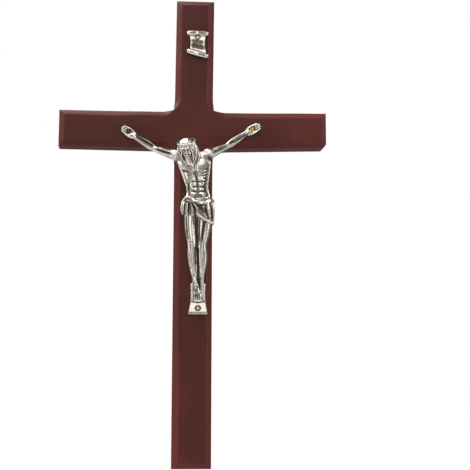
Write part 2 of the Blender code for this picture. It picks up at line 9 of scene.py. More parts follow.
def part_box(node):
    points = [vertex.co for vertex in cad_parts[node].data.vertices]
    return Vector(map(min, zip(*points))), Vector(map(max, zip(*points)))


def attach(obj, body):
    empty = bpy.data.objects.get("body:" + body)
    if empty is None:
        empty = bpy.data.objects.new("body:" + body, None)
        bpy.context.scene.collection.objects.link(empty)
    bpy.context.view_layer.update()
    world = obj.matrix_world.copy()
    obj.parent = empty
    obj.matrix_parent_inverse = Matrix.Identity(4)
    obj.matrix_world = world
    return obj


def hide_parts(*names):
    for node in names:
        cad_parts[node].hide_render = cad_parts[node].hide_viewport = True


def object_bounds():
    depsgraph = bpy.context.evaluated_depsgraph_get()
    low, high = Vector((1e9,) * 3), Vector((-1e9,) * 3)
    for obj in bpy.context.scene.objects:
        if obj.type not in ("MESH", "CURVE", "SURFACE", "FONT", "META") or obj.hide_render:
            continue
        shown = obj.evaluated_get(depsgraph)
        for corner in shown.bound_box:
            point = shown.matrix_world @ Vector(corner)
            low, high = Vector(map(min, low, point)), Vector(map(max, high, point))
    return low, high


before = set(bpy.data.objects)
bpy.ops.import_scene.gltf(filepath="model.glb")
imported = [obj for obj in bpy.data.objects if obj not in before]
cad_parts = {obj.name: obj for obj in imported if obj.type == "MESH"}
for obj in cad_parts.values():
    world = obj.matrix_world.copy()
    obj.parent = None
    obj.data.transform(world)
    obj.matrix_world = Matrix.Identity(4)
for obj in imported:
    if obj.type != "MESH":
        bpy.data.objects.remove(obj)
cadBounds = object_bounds()
mm = 0.001
chance = np.random.default_rng(7)
print("frame loaded:", len(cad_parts), "solids")


# A node's output, which can be used in ordinary expressions
class Wire:
    def __init__(self, tree, socket):
        self.tree, self.socket = tree, socket

    def mathed(self, kind, other=None, swapped=False):
        node = self.tree.nodes.new("ShaderNodeMath")
        node.operation = kind
        for slot, value in zip(node.inputs, [other, self] if swapped else [self, other]):
            if isinstance(value, Wire):
                self.tree.links.new(value.socket, slot)
            elif value is not None:
                slot.default_value = value
        return Wire(self.tree, node.outputs[0])

    def __add__(self, other):
        return self.mathed("ADD", other)

    def __sub__(self, other):
        return self.mathed("SUBTRACT", other)

    def __rsub__(self, other):
        return self.mathed("SUBTRACT", other, swapped=True)

    def __mul__(self, other):
        return self.mathed("MULTIPLY", other)

    def __truediv__(self, other):
        return self.mathed("DIVIDE", other)

    __radd__, __rmul__ = __add__, __mul__


# A node tree, with one way to add any node to it
class Wiring:
    def node(self, kind, settings=None, values=None, output=0):
        node = self.tree.nodes.new(kind)
        for key, value in (settings or {}).items():
            setattr(node, key, value)
        for key, value in (values or {}).items():
            for one in value if isinstance(value, list) else [value]:
                self.join(one, node.inputs[key])
        return Wire(self.tree, node.outputs[output])

    def join(self, value, socket):
        if isinstance(value, Wire):
            self.tree.links.new(value.socket, socket)
        else:
            socket.default_value = value


class Finish(Wiring):
    sockets = {"colour": "Base Color", "roughness": "Roughness", "metallic": "Metallic",
               "normal": "Normal", "specular": "Specular IOR Level"}

    def __init__(self, name):
        self.material = bpy.data.materials.new(name)
        self.material.use_nodes = True
        self.tree = self.material.node_tree
        self.shader = self.tree.nodes["Principled BSDF"]

    def attribute(self, name):
        return self.node("ShaderNodeAttribute", {"attribute_name": name}, output="Fac")

    def place(self):
        return self.node("ShaderNodeTexCoord", output="Object")

    def noise(self, scale, detail=4, roughness=0.55, stretch=(1, 1, 1), shift=(0, 0, 0)):
        spot = self.node("ShaderNodeMapping", values={
            "Vector": self.place(), "Scale": stretch, "Location": shift})
        return self.node("ShaderNodeTexNoise", values={
            "Vector": spot, "Scale": scale, "Detail": detail, "Roughness": roughness})

    def blend(self, share, first, second):
        return self.node("ShaderNodeMix", {"data_type": "RGBA"},
                         {0: share, 6: first, 7: second}, output=2)

    def ramp(self, value, low, high):
        return self.node("ShaderNodeMapRange", {"interpolation_type": "SMOOTHSTEP"}, {
            "Value": value, "From Min": low, "From Max": high})

    def bump(self, height, strength, distance=0.1 * mm):
        return self.node("ShaderNodeBump", values={
            "Height": height, "Strength": strength, "Distance": distance})

    def surface(self, **values):
        for key, value in values.items():
            self.join(value, self.shader.inputs[self.sockets[key]])
        return self.material


# The larger of two fields, rounded where they meet
def softMax(first, second, blend):
    overlap = np.maximum(blend - np.abs(first - second), 0) / blend
    return np.maximum(first, second) + overlap * overlap * blend * 0.25


# Clay: a solid kept as a grid of distances to its skin in mm, negative inside.
# Its axes are x to the right, out from the back of the casting, and z up.
class Clay:
    corners = [(i, j, k) for i in (0, 1) for j in (0, 1) for k in (0, 1)]
    smoothing = (0.55, -0.57) * 7 + (0.3,)      # shares of the way to the neighbours' mean

    def __init__(self, low, high, step, far=2):
        self.step, self.far = step, far
        self.axes = [np.arange(a, b + step, step, dtype=np.float32) for a, b in zip(low, high)]
        self.field = np.full([len(axis) for axis in self.axes], far, np.float32)

    def window(self, low, high):
        cut = tuple(slice(*np.searchsorted(axis, (a - self.far, b + self.far)).tolist())
                    for axis, a, b in zip(self.axes, low, high))
        x, out, z = (axis[part] for axis, part in zip(self.axes, cut))
        return cut, x[:, None, None], out[None, :, None], z[None, None, :]

    def merge(self, cut, distance, blend, carve=False):
        old = self.field[cut]
        if old.size:
            self.field[cut] = (softMax(old, -distance, blend) if carve
                               else -softMax(-old, -distance, blend))

    # A tube through rows of (x, out, z, radius) or (x, out, z, half width, half depth)
    def tube(self, rows, blend=0.4, carve=False, steps=5):
        path = smoothRows(rows, steps)
        if path.shape[1] == 4:
            path = np.concatenate([path, path[:, 3:4]], axis=1)
        reach = path[:, 3:5].max(axis=1, keepdims=True)
        cut, x, out, z = self.window((path[:, :3] - reach).min(0), (path[:, :3] + reach).max(0))
        best = None
        for a, b in zip(path, path[1:]):
            run = b[:3] - a[:3]
            length = max(float(run @ run), 1e-9)
            share = ((x - a[0]) * run[0] + (out - a[1]) * run[1] + (z - a[2]) * run[2]) / length
            share = np.clip(share, 0, 1)
            width = a[3] + (b[3] - a[3]) * share
            squeeze = (a[4] + b[4]) / (a[3] + b[3])
            dx, dz = x - a[0] - run[0] * share, z - a[2] - run[2] * share
            deep = (out - a[1] - run[1] * share) / squeeze
            flat = dx * dx + dz * dz
            long = np.sqrt(flat + deep * deep) + 1e-6
            slope = np.sqrt(flat + (deep / squeeze) ** 2) / long + 1e-6
            distance = (long - width) / slope
            best = distance if best is None else np.minimum(best, distance)
        self.merge(cut, best, blend, carve)

    def ball(self, centre, radii, blend=0.5, turn=None, carve=False):
        centre = np.asarray(centre, float)
        reach = max(radii)
        cut, x, out, z = self.window(centre - reach, centre + reach)
        dx, do, dz = x - centre[0], out - centre[1], z - centre[2]
        if turn is not None:
            dx, do, dz = (dx * t[0] + do * t[1] + dz * t[2] for t in np.asarray(turn))
        near, slope = (np.sqrt((dx / radii[0] ** power) ** 2 + (do / radii[1] ** power) ** 2
                               + (dz / radii[2] ** power) ** 2) + 1e-6 for power in (1, 2))
        self.merge(cut, near * (near - 1) / slope, blend, carve)

    # Ellipses (x, out, z, half width, half depth) stacked from the top down
    def trunk(self, stations, blend=0.6, ends=1.2):
        path = smoothRows(stations, 8)[::-1]
        cut, x, out, z = self.window(
            ((path[:, 0] - path[:, 3]).min(), -1, path[0, 2]),
            ((path[:, 0] + path[:, 3]).max(), (path[:, 1] + path[:, 4]).max(), path[-1, 2]))
        middle, depth, width, deep = (
            np.interp(z.ravel(), path[:, 2], path[:, k])[None, None, :] for k in (0, 1, 3, 4))
        dx, do = (x - middle) / width, (out - depth) / deep
        near = np.sqrt(dx * dx + do * do) + 1e-6
        slope = np.sqrt((dx / width) ** 2 + (do / deep) ** 2) + 1e-6
        distance = near * (near - 1) / slope
        lid = np.maximum(z - path[-1, 2], path[0, 2] - z)
        self.merge(cut, softMax(distance, lid, ends).astype(np.float32), blend)

    # How far the skin stands out at (x, z), or nan where there is none
    def skin(self, x, z):
        i, k = (x - self.axes[0][0]) / self.step, (z - self.axes[2][0]) / self.step
        i0 = int(np.clip(i, 0, len(self.axes[0]) - 2))
        k0 = int(np.clip(k, 0, len(self.axes[2]) - 2))
        i, k = i - i0, k - k0
        near, far = self.field[i0], self.field[i0 + 1]
        column = (near[:, k0] * (1 - i) * (1 - k) + far[:, k0] * i * (1 - k)
                  + near[:, k0 + 1] * (1 - i) * k + far[:, k0 + 1] * i * k)
        inside = np.nonzero(column < 0)[0]
        if len(inside) == 0 or inside[-1] + 1 >= len(column):
            return math.nan
        j = inside[-1]
        return float(self.axes[1][j] + self.step * column[j] / (column[j] - column[j + 1]))

    # A tube laid on the skin through rows of (x, z, radius)
    def onSkin(self, rows, lift=0, blend=0.3, carve=False, steps=6):
        path = smoothRows(rows, steps)
        outs = np.array([self.skin(x, z) for x, z, _ in path]) + lift
        found = np.isfinite(outs)
        if not found.any():
            return
        outs = np.interp(np.arange(len(outs)), np.nonzero(found)[0], outs[found])
        for _ in range(2):
            outs[1:-1] = (outs[:-2] + 2 * outs[1:-1] + outs[2:]) / 4
        laid = np.stack([path[:, 0], outs, path[:, 1], path[:, 2]], axis=1)
        self.tube(laid, blend, carve, steps=1)

    def groove(self, rows, lift, blend, steps=6):
        self.onSkin(rows, lift, blend, True, steps)

    # A hole for a pin
    def drill(self, x, z, radius, blend, low=-0.5, high=3.5):
        self.tube([(x, low, z, radius), (x, high, z, radius)], blend, carve=True)

    def onSkinBall(self, x, z, radii, lift, blend=0.5, turn=None, carve=False):
        self.ball((x, self.skin(x, z) + lift, z), radii, blend, turn, carve)

    # Keeps what lies in front of the flat back.
    def flatBack(self, blend=0.25):
        self.field = softMax(self.field, -self.axes[1][None, :, None], blend)

    # Sinks the skin a little past a height, so that two pieces cross smoothly there,
    # and closes the skin where it meets the grid's sides.
    def seam(self, level, way, depth=0.05):
        self.field += (depth * np.clip((self.axes[2] - level) * way, 0, 1))[None, None, :]
        for axis in range(3):
            for end in (0, -1):
                face = np.moveaxis(self.field, axis, 0)[end]
                np.maximum(face, self.step, out=face)

    # A flat plate: how far each place is past its sides and its front, with rounded edges
    def slab(self, sides, front, edge):
        sides = sides + edge
        deep = (self.axes[1][None, :, None] - front + edge).astype(sides.dtype)
        corner = (np.sqrt(np.maximum(sides, 0) ** 2 + np.maximum(deep, 0) ** 2)
                  + np.minimum(np.maximum(sides, deep), 0) - edge)
        self.field = np.minimum(corner, self.far).astype(np.float32)

    # Field values at any places, read between the grid's corners
    def read(self, places):
        spot = (places - np.array([axis[0] for axis in self.axes])) / self.step
        spot = np.clip(spot, 0, np.array(self.field.shape) - 1.001)
        low = spot.astype(int)
        share = spot - low
        total = 0
        for corner in self.corners:
            weight = 1
            for axis, bit in enumerate(corner):
                weight = weight * (share[:, axis] if bit else 1 - share[:, axis])
            total = total + weight * self.field[tuple((low + corner).T)]
        return total

    # How shut in each place is: 0 on open skin, near 1 down a narrow groove.
    def shutIn(self, places, reaches):
        slopes = [self.read(places + move) - self.read(places - move)
                  for move in np.eye(3) * self.step]
        normal = np.stack(slopes, 1)
        normal /= np.linalg.norm(normal, axis=1, keepdims=True) + 1e-9
        lost = [np.clip(1 - self.read(places + normal * reach) / reach, 0, 1) for reach in reaches]
        return sum(lost) / len(lost)

    # The skin as quads between the grid's cells, smoothed without shrinking,
    # with how shut in each place is
    def skinMesh(self, hollows=((0.3, 0.5), (1, 1.6))):
        field, step = self.field, self.step
        inside = field < 0
        size = [n - 1 for n in field.shape]
        count = np.zeros(size, np.int8)
        for i, j, k in self.corners:
            count += inside[i:size[0] + i, j:size[1] + j, k:size[2] + k]
        cells = np.argwhere((count > 0) & (count < 8))
        value = np.stack([field[tuple((cells + corner).T)] for corner in self.corners], 1)
        spots = np.array(self.corners, float)
        total, hits = np.zeros((len(cells), 3)), np.zeros(len(cells))
        for a in range(8):
            for b in range(a + 1, 8):
                if abs(spots[a] - spots[b]).sum() != 1:
                    continue
                crosses = (value[:, a] < 0) != (value[:, b] < 0)
                share = value[crosses, a] / (value[crosses, a] - value[crosses, b])
                total[crosses] += spots[a] + share[:, None] * (spots[b] - spots[a])
                hits[crosses] += 1
        places = (cells + total / hits[:, None]) * step + np.array([axis[0] for axis in self.axes])
        number = np.full(size, -1, np.int32)
        number[tuple(cells.T)] = np.arange(len(cells))
        quads = []
        for axis in range(3):
            u, v = (axis + 1) % 3, (axis + 2) % 3
            first = np.take(inside, np.arange(field.shape[axis] - 1), axis=axis)
            second = np.take(inside, np.arange(1, field.shape[axis]), axis=axis)
            edges = np.argwhere(first != second)
            alongU, alongV = edges[:, u], edges[:, v]
            edges = edges[(alongU > 0) & (alongV > 0) & (alongU < size[u]) & (alongV < size[v])]
            leaving = first[tuple(edges.T)]
            stepU, stepV = np.eye(3, dtype=int)[[u, v]]
            ring = np.stack([number[tuple((edges - move).T)]
                             for move in (stepU + stepV, stepV, 0 * stepU, stepU)], 1)
            ring[leaving] = ring[leaving][:, ::-1]      # the out axis is turned round in the scene
            quads.append(ring)
        quads = np.concatenate(quads)
        links = np.concatenate([quads[:, (k, (k + 1) % 4)] for k in range(4)])
        count = np.bincount(links.ravel(), minlength=len(places))[:, None]
        for share in self.smoothing:
            near = np.stack([np.bincount(links[:, 0], values[links[:, 1]], len(places))
                             + np.bincount(links[:, 1], values[links[:, 0]], len(places))
                             for values in places.T], 1)
            places = places + share * (near / np.maximum(count, 1) - places)
        return places, quads, [self.shutIn(places, reaches) for reaches in hollows]


# A smooth curve through rows of numbers, with steps points to each row
def smoothRows(rows, steps):
    rows = np.asarray(rows, float)
    if steps <= 1 or len(rows) < 2:
        return rows
    last = len(rows) - 1
    t = np.linspace(0, last, last * steps + 1)
    k = np.minimum(t.astype(int), last - 1)
    t = (t - k)[:, None]
    a, b, c, d = (rows[np.clip(k + move, 0, last)] for move in (-1, 0, 1, 2))
    return (b * (2 * t**3 - 3 * t**2 + 1) + (c - a) / 2 * (t**3 - 2 * t**2 + t)
            + c * (3 * t**2 - 2 * t**3) + (d - b) / 2 * (t**3 - t**2))


woodLow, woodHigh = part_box("crossbar")
uprightLow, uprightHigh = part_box("upright")
woodFace = woodLow[1]
castingSink = 0.3 * mm
castingBack = woodFace - castingSink
figurePlace = {"side": -0.15, "rise": 0.5}    # mm from the crossing to the drawing's zero


def meshFrom(bm, name):
    mesh = bpy.data.meshes.new(name)
    bm.to_mesh(mesh)
    bm.free()
    return mesh


def linked(name, mesh, finish=None):
    made = bpy.data.objects.new(name, mesh)
    bpy.context.scene.collection.objects.link(made)
    if finish:
        mesh.materials.append(finish)
    return made


def toScene(places, place):
    moved = np.empty_like(places)
    moved[:, 0] = (places[:, 0] + place["side"]) * mm
    moved[:, 1] = castingBack - places[:, 1] * mm
    moved[:, 2] = (places[:, 2] + place["rise"]) * mm
    return moved


# Fields that the metal's finish reads: how shut in the skin is, close by and further off. The
# finish darkens with both: patina down the grooves, and painted shade between limbs and under the
# head from the further one.
def markHollows(mesh, fields):
    for label, values in zip(("hollowFine", "hollowWide"), fields):
        data = mesh.attributes.new(label, "FLOAT", "POINT").data
        data.foreach_set("value", values.astype(np.float32))


# A piece of the casting: a box of clay, what is modelled in it, and its flat back. Each streak row
# darkens the
# finish softly, or lightens it below 0: x, z, x, z, half width, strength. It is patina, and on the
# body painted shade too.
def castPiece(name, look, models, finish, place=figurePlace):
    clay = Clay(look["low"], look["high"], look["step"])
    for model in models:
        model(clay)
    clay.flatBack()
    if "seam" in look:
        clay.seam(*look["seam"])
    places, quads, hollow = clay.skinMesh()
    for x0, z0, x1, z1, half, strength in look.get("patinaAndPaintedShade", ()):
        run = np.array([x1 - x0, z1 - z0])
        off = places[:, (0, 2)] - (x0, z0)
        share = np.clip(off @ run / max(run @ run, 1e-9), 0, 1)
        away = np.linalg.norm(off - share[:, None] * run, axis=1)
        hollow[1] = np.maximum(hollow[1] + strength * np.exp(-(away / half) ** 4), 0)
    mesh = bpy.data.meshes.new(name)
    mesh.vertices.add(len(places))
    mesh.vertices.foreach_set("co", toScene(places, place).ravel().astype(np.float32))
    mesh.loops.add(quads.size)
    mesh.loops.foreach_set("vertex_index", quads.ravel().astype(np.int32))
    mesh.polygons.add(len(quads))
    mesh.polygons.foreach_set("loop_start", np.arange(0, quads.size, 4, dtype=np.int32))
    mesh.update(calc_edges=True)
    mesh.validate()
    mesh.shade_smooth()
    markHollows(mesh, hollow)
    print(name, "has", 2 * len(quads), "triangles")
    return linked(name, mesh, finish)


# Materials
silverLook = {
    "bright": (0.80, 0.765, 0.70, 1), "dull": (0.43, 0.38, 0.325, 1),
    "patina": (0.05, 0.036, 0.027, 1), "brightRoughness": 0.27, "patinaRoughness": 0.6,
}


def antiqueSilver(name, speckle=0):
    made = Finish(name)
    fine, wide = made.attribute("hollowFine"), made.attribute("hollowWide")
    cloud = made.noise(700, detail=4)
    grain = made.noise(3200, detail=3)
    stain = (cloud - 0.5) * (0.38 + speckle) + (grain - 0.5) * (0.16 + speckle)
    # Dark brown and dull tones: patina in the fine grooves, and painted shade between limbs and
    # under the head from the wide hollows and the body's streak rows.
    dark = made.ramp(fine * 1.15 + wide * 0.62 + stain * 0.45, 0.18, 0.58)
    dulledAndShaded = made.ramp(fine * 1.2 + wide * 0.7 + stain, 0.05, 0.42)
    tone = made.blend(dulledAndShaded, silverLook["bright"], silverLook["dull"])
    smooth, rough = silverLook["brightRoughness"], silverLook["patinaRoughness"]
    return made.surface(
        colour=made.blend(dark, tone, silverLook["patina"]),
        roughness=(dark * (rough - smooth - 0.1) + dulledAndShaded * 0.1
                   + grain * 0.1 + cloud * 0.06 + (smooth - 0.08)),
        metallic=1 - dark * 0.3,
        normal=made.bump(grain * 0.5 + cloud * 0.5, 0.1 + speckle * 0.5),
    )


woodLook = {
    "base": (0.079, 0.0165, 0.0125, 1), "streak": (0.05, 0.011, 0.0088, 1),
    "warm": (0.125, 0.024, 0.018, 1), "edge": (0.22, 0.045, 0.034, 1),
    "bevel": (0.16, 0.026, 0.02, 1), "stretch": 0.04,
}


def stainedWood(name, along):
    made = Finish(name)
    stretch = tuple(woodLook["stretch"] if axis == along else 1 for axis in "xyz")
    fibre = made.noise(1300, detail=6, roughness=0.6, stretch=stretch)
    band = made.noise(150, detail=3, roughness=0.5, stretch=stretch, shift=(0.3, 0.1, 0.7))
    cloud = made.noise(24, detail=3)
    rubbed, bevel = made.attribute("rubbedEdge"), made.attribute("bevelFace")
    streaks = made.ramp(fibre * 0.5 + band * 0.5, 0.42, 0.7)
    tone = made.blend(streaks * 0.85, woodLook["base"], woodLook["streak"])
    warmed = made.ramp(band * 0.35 + cloud * 0.65, 0.46, 0.68)
    tone = made.blend(warmed * 0.75, tone, woodLook["warm"])
    # Painted highlight: the marked bevels are blended towards a lighter red.
    tone = made.blend(bevel * (0.22 + cloud * 0.25), tone, woodLook["bevel"])
    worn = made.ramp(band * 0.6 + cloud * 0.4, 0.38, 0.66)
    tone = made.blend(rubbed * worn * 0.42, tone, woodLook["edge"])
    return made.surface(
        colour=tone,
        roughness=0.42 + fibre * 0.16 - rubbed * 0.08,
        specular=0.2,
        normal=made.bump(fibre, 0.12),
    )


brassLook = {
    "clean": (0.87, 0.58, 0.27, 1), "dull": (0.62, 0.37, 0.15, 1),
    "tarnish": (0.075, 0.04, 0.022, 1),
    "tarnishedPast": (-0.031, -0.033),      # the pin at the far left is painted dark brown, as shade
}


def pinBrass(name):
    made = Finish(name)
    cloud = made.noise(1400, detail=3)
    across = made.node("ShaderNodeSeparateXYZ", values={0: made.place()})
    # Painted shade: the pin in the left palm is blended to dark brown.
    tarnish = made.ramp(across, *brassLook["tarnishedPast"]) * 0.9
    tone = made.blend(made.ramp(cloud, 0.4, 0.7), brassLook["clean"], brassLook["dull"])
    return made.surface(
        colour=made.blend(tarnish, tone, brassLook["tarnish"]),
        roughness=0.2 + cloud * 0.14 + tarnish * 0.3,
        metallic=1 - tarnish * 0.4,
    )


uprightWood = stainedWood("red-brown stained wood, grain upright", "z")
crossbarWood = stainedWood("red-brown stained wood, grain level", "x")
silver = antiqueSilver("antique silver")
plateSilver = antiqueSilver("antique silver, speckled", speckle=0.1)
brass = pinBrass("brass")
print("finishes made")


# Wooden beams, sections lofted from end to end
timber = {
    "halfWidth": 10.2, "thickness": 10, "chamferWidth": 3.1, "chamferDepth": 2.6,
    "shoulderRise": 0.5, "shoulderLength": 8, "runOut": 5.5, "seam": 0.02,
    "topLean": 0.6, "rightArmRise": 0.9, "rightArmTaper": 0.9, "leftArmTaper": 0.5,
    "wobble": 0.16, "edgeRadius": 0.6, "clippedCorner": 2.3, "sharpAngle": 32,
}
lapHalf = timber["halfWidth"] + timber["shoulderRise"]
lapEnd = lapHalf + timber["seam"]


def eased(t):
    t = min(max(t, 0), 1)
    return t * t * (3 - 2 * t)


def wave(seed):
    draw = np.random.default_rng(seed)
    parts = [(draw.uniform(0.03, 0.22), draw.uniform(0, 6.28), draw.uniform(0.3, 1))
             for _ in range(5)]
    return lambda s: sum(size * math.sin(rate * s + phase) for rate, phase, size in parts) / 2.2


def roundedRing(points, radius, parts=3):
    ring = []
    for k, point in enumerate(points):
        spot, ends = Vector(point), []
        for other in (points[k - 1], points[(k + 1) % len(points)]):
            way = Vector(other) - spot
            ends.append(spot + way.normalized() * min(radius, way.length * 0.45))
        for step in range(parts + 1):
            t = step / parts
            ring.append(ends[0] * (1 - t) ** 2 + spot * 2 * t * (1 - t) + ends[1] * t**2)
    return ring


# Six corners (across, y) of a beam s mm from the crossing, and t mm from its nearer end
def beamCorners(s, t, notched, inFront, drift, waves):
    away = abs(s) - lapHalf - timber["seam"]
    shoulder = timber["shoulderRise"] * (1 - eased(away / timber["shoulderLength"]))
    across = timber["halfWidth"] + shoulder
    share = math.sin(math.pi / 2 * min(max(away / timber["runOut"], 0), 1))
    face = -timber["thickness"]
    front = face + timber["chamferDepth"] * max(1 - t / timber["chamferWidth"], 0)
    back = face / 2 if notched and inFront else 0
    sides = []
    for side, shift, wobble in zip((-1, 1), drift(s), waves):
        size = share * (1 + timber["wobble"] * wobble(s) / timber["chamferWidth"] * 2)
        width, depth = timber["chamferWidth"] * size, timber["chamferDepth"] * size
        cut = depth > 1e-6 and front - face < depth
        inner = across - width * (1 - (front - face) / depth if cut else 0)
        edge, nose = max(face + depth, front), front
        if notched and not inFront:
            edge = nose = face / 2 + timber["seam"]
            inner = across
        outer = shift + side * across
        sides.append([(outer, back), (outer, edge), (shift + side * inner, nose)])
    return sides[0] + sides[1][::-1]


def beamPiece(name, low, high, alongX, inFront, drift, finish, seeds):
    waves = [wave(seed) for seed in seeds]
    runOut = timber["runOut"] * (1 - np.cos(np.linspace(0, math.pi / 2, 12)))
    chamfer = timber["chamferWidth"]
    marks = set(np.round(np.concatenate([
        np.linspace(low, low + chamfer, 5),
        np.arange(low + 5, -lapEnd - timber["runOut"], 2.5),
        -lapEnd - runOut,
        lapEnd + runOut,
        np.arange(lapEnd + timber["runOut"] + 1, high - 5, 2.5),
        np.linspace(high - chamfer, high, 5),
    ]), 4))
    stations = [(s, False) for s in marks if abs(s) >= lapEnd] + [(-lapEnd, True), (lapEnd, True)]
    stations.sort(key=lambda mark: (mark[0], mark[1] == (mark[0] < 0)))
    bm = bmesh.new()
    rubbed = bm.verts.layers.float.new("rubbedEdge")
    bevel = bm.verts.layers.float.new("bevelFace")
    # Painted highlight: the crossbar's top bevel, the upright's two side bevels and the bevels at
    # the beam ends are marked to be drawn in a lighter red.
    bevels = (14, 15, 16, 17) if alongX else (6, 7, 8, 9, 14, 15, 16, 17)
    rings = []
    for s, notched in stations:
        t = min(s - low, high - s)
        corners = beamCorners(s, t, notched, inFront, drift, waves)
        atEnd = t < chamfer - 0.01
        ring = []
        for k, (across, out) in enumerate(roundedRing(corners, timber["edgeRadius"])):
            spot = (s * mm, out * mm, across * mm) if alongX else (across * mm, out * mm, s * mm)
            ring.append(bm.verts.new(spot))
            ring[-1][rubbed] = float(k % 4 in (1, 2) and abs(s) > lapEnd)
            ring[-1][bevel] = float(k in bevels or (atEnd and 3 < k < 20))
        rings.append(ring)
    for ring, following in zip(rings, rings[1:]):
        for k in range(len(ring)):
            after = (k + 1) % len(ring)
            bm.faces.new((ring[k], ring[after], following[after], following[k]))
    bm.faces.new(rings[0])
    bm.faces.new(rings[-1])
    if alongX:      # the corner clipped off the arm at the viewer's right
        corner = Vector((high * mm, 0, (drift(high)[0] - timber["halfWidth"]) * mm))
        normal = Vector((1, 0, -1)).normalized()
        reach = timber["clippedCorner"] * mm / math.sqrt(2)
        sliced = bmesh.ops.bisect_plane(
            bm, geom=bm.verts[:] + bm.edges[:] + bm.faces[:], plane_co=corner - normal * reach,
            plane_no=normal, clear_outer=True)
        rim = [piece for piece in sliced["geom_cut"] if isinstance(piece, bmesh.types.BMEdge)]
        bmesh.ops.holes_fill(bm, edges=rim, sides=0)
    bmesh.ops.remove_doubles(bm, verts=bm.verts, dist=2e-6)
    bmesh.ops.recalc_face_normals(bm, faces=bm.faces)
    mesh = meshFrom(bm, name)
    mesh.shade_smooth()
    mesh.set_sharp_from_angle(angle=math.radians(timber["sharpAngle"]))
    return linked(name, mesh, finish)


# How far the low and the high side of a beam stray from straight, s mm along it
def uprightDrift(s):
    lean = timber["topLean"] * max(s - lapEnd, 0) / (uprightHigh[2] / mm - lapEnd)
    return lean, lean


def crossbarDrift(s):
    share = max(abs(s) - lapEnd, 0) / (woodHigh[0] / mm - lapEnd)
    if s > 0:
        rise = timber["rightArmRise"]
        return share * (rise + timber["rightArmTaper"]), share * rise
    return share * timber["leftArmTaper"], 0


# Blind hole behind the upright for the nail that it hangs on
nailHole = {"radius": 3.3, "wall": 4, "fromTop": 16}


def drillNailHole(beam):
    depth, radius = (timber["thickness"] - nailHole["wall"]) * mm, nailHole["radius"] * mm
    bm = bmesh.new()
    spot = Matrix.Translation((0, 0, uprightHigh[2] - nailHole["fromTop"] * mm))
    bmesh.ops.create_cone(bm, cap_ends=True, segments=64, radius1=radius, radius2=radius,
                          depth=depth * 2, matrix=spot @ Matrix.Rotation(math.pi / 2, 4, "X"))
    drill = linked("drill", meshFrom(bm, "drill"))
    cut = beam.modifiers.new("Nail hole", "BOOLEAN")
    cut.object, cut.operation, cut.solver = drill, "DIFFERENCE", "EXACT"
    graph = bpy.context.evaluated_depsgraph_get()
    drilled = bpy.data.meshes.new_from_object(beam.evaluated_get(graph))
    beam.modifiers.clear()
    beam.data = drilled
    drilled.set_sharp_from_angle(angle=math.radians(timber["sharpAngle"]))
    bpy.data.objects.remove(drill)


upright = beamPiece("uprightBeam", uprightLow[2] / mm, uprightHigh[2] / mm, False, False,
                    uprightDrift, uprightWood, (3, 4))
crossbar = beamPiece("crossBeam", woodLow[0] / mm, woodHigh[0] / mm, True, True,
                     crossbarDrift, crossbarWood, (5, 6))
drillNailHole(upright)
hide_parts("upright")
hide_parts("crossbar")
print("beams made")


# The cast figure, in mm: x to the right, out from the flat back, z up
def rolled(degrees):
    c, s = math.cos(math.radians(degrees)), math.sin(math.radians(degrees))
    return ((c, 0, s), (0, 1, 0), (-s, 0, c))


# Ellipses of the trunk, and the joints of the arms
trunkStations = [
    (-0.9, 3.4, -14.6, 6.4, 2), (-0.9, 3.6, -15.5, 7.8, 2.6), (-0.3, 4.3, -19, 8.7, 4.2),
    (0.9, 4.7, -24, 7.6, 4.8), (1.8, 4.6, -29, 6.4, 4.3), (2.6, 4.3, -34, 5.4, 3.6),
    (2.9, 4.4, -38.5, 6.4, 3.8), (2.7, 4.4, -43.5, 7.2, 4), (2.6, 4.4, -48, 6.8, 4),
]
arms = {
    "left": {"shoulder": (-9.8, 4.6, -16), "elbow": (-20.6, 3.4, -12.2),
             "wrist": (-31.2, 1.5, -5.4), "tip": (-38.1, 1.5, -0.3), "side": -1,
             "hollow": 0.26, "curl": 0, "hole": (-34.2, -2.7)},
    "right": {"shoulder": (8, 4.6, -15.2), "elbow": (18, 3.4, -9.9),
              "wrist": (28.2, 1.5, -2.5), "tip": (36, 1.5, 2.2), "side": 1,
              "hollow": 0.38, "curl": 0.7, "hole": (31.5, 0)},
}


def between(a, b, share):
    return [p + (q - p) * share for p, q in zip(a, b)]


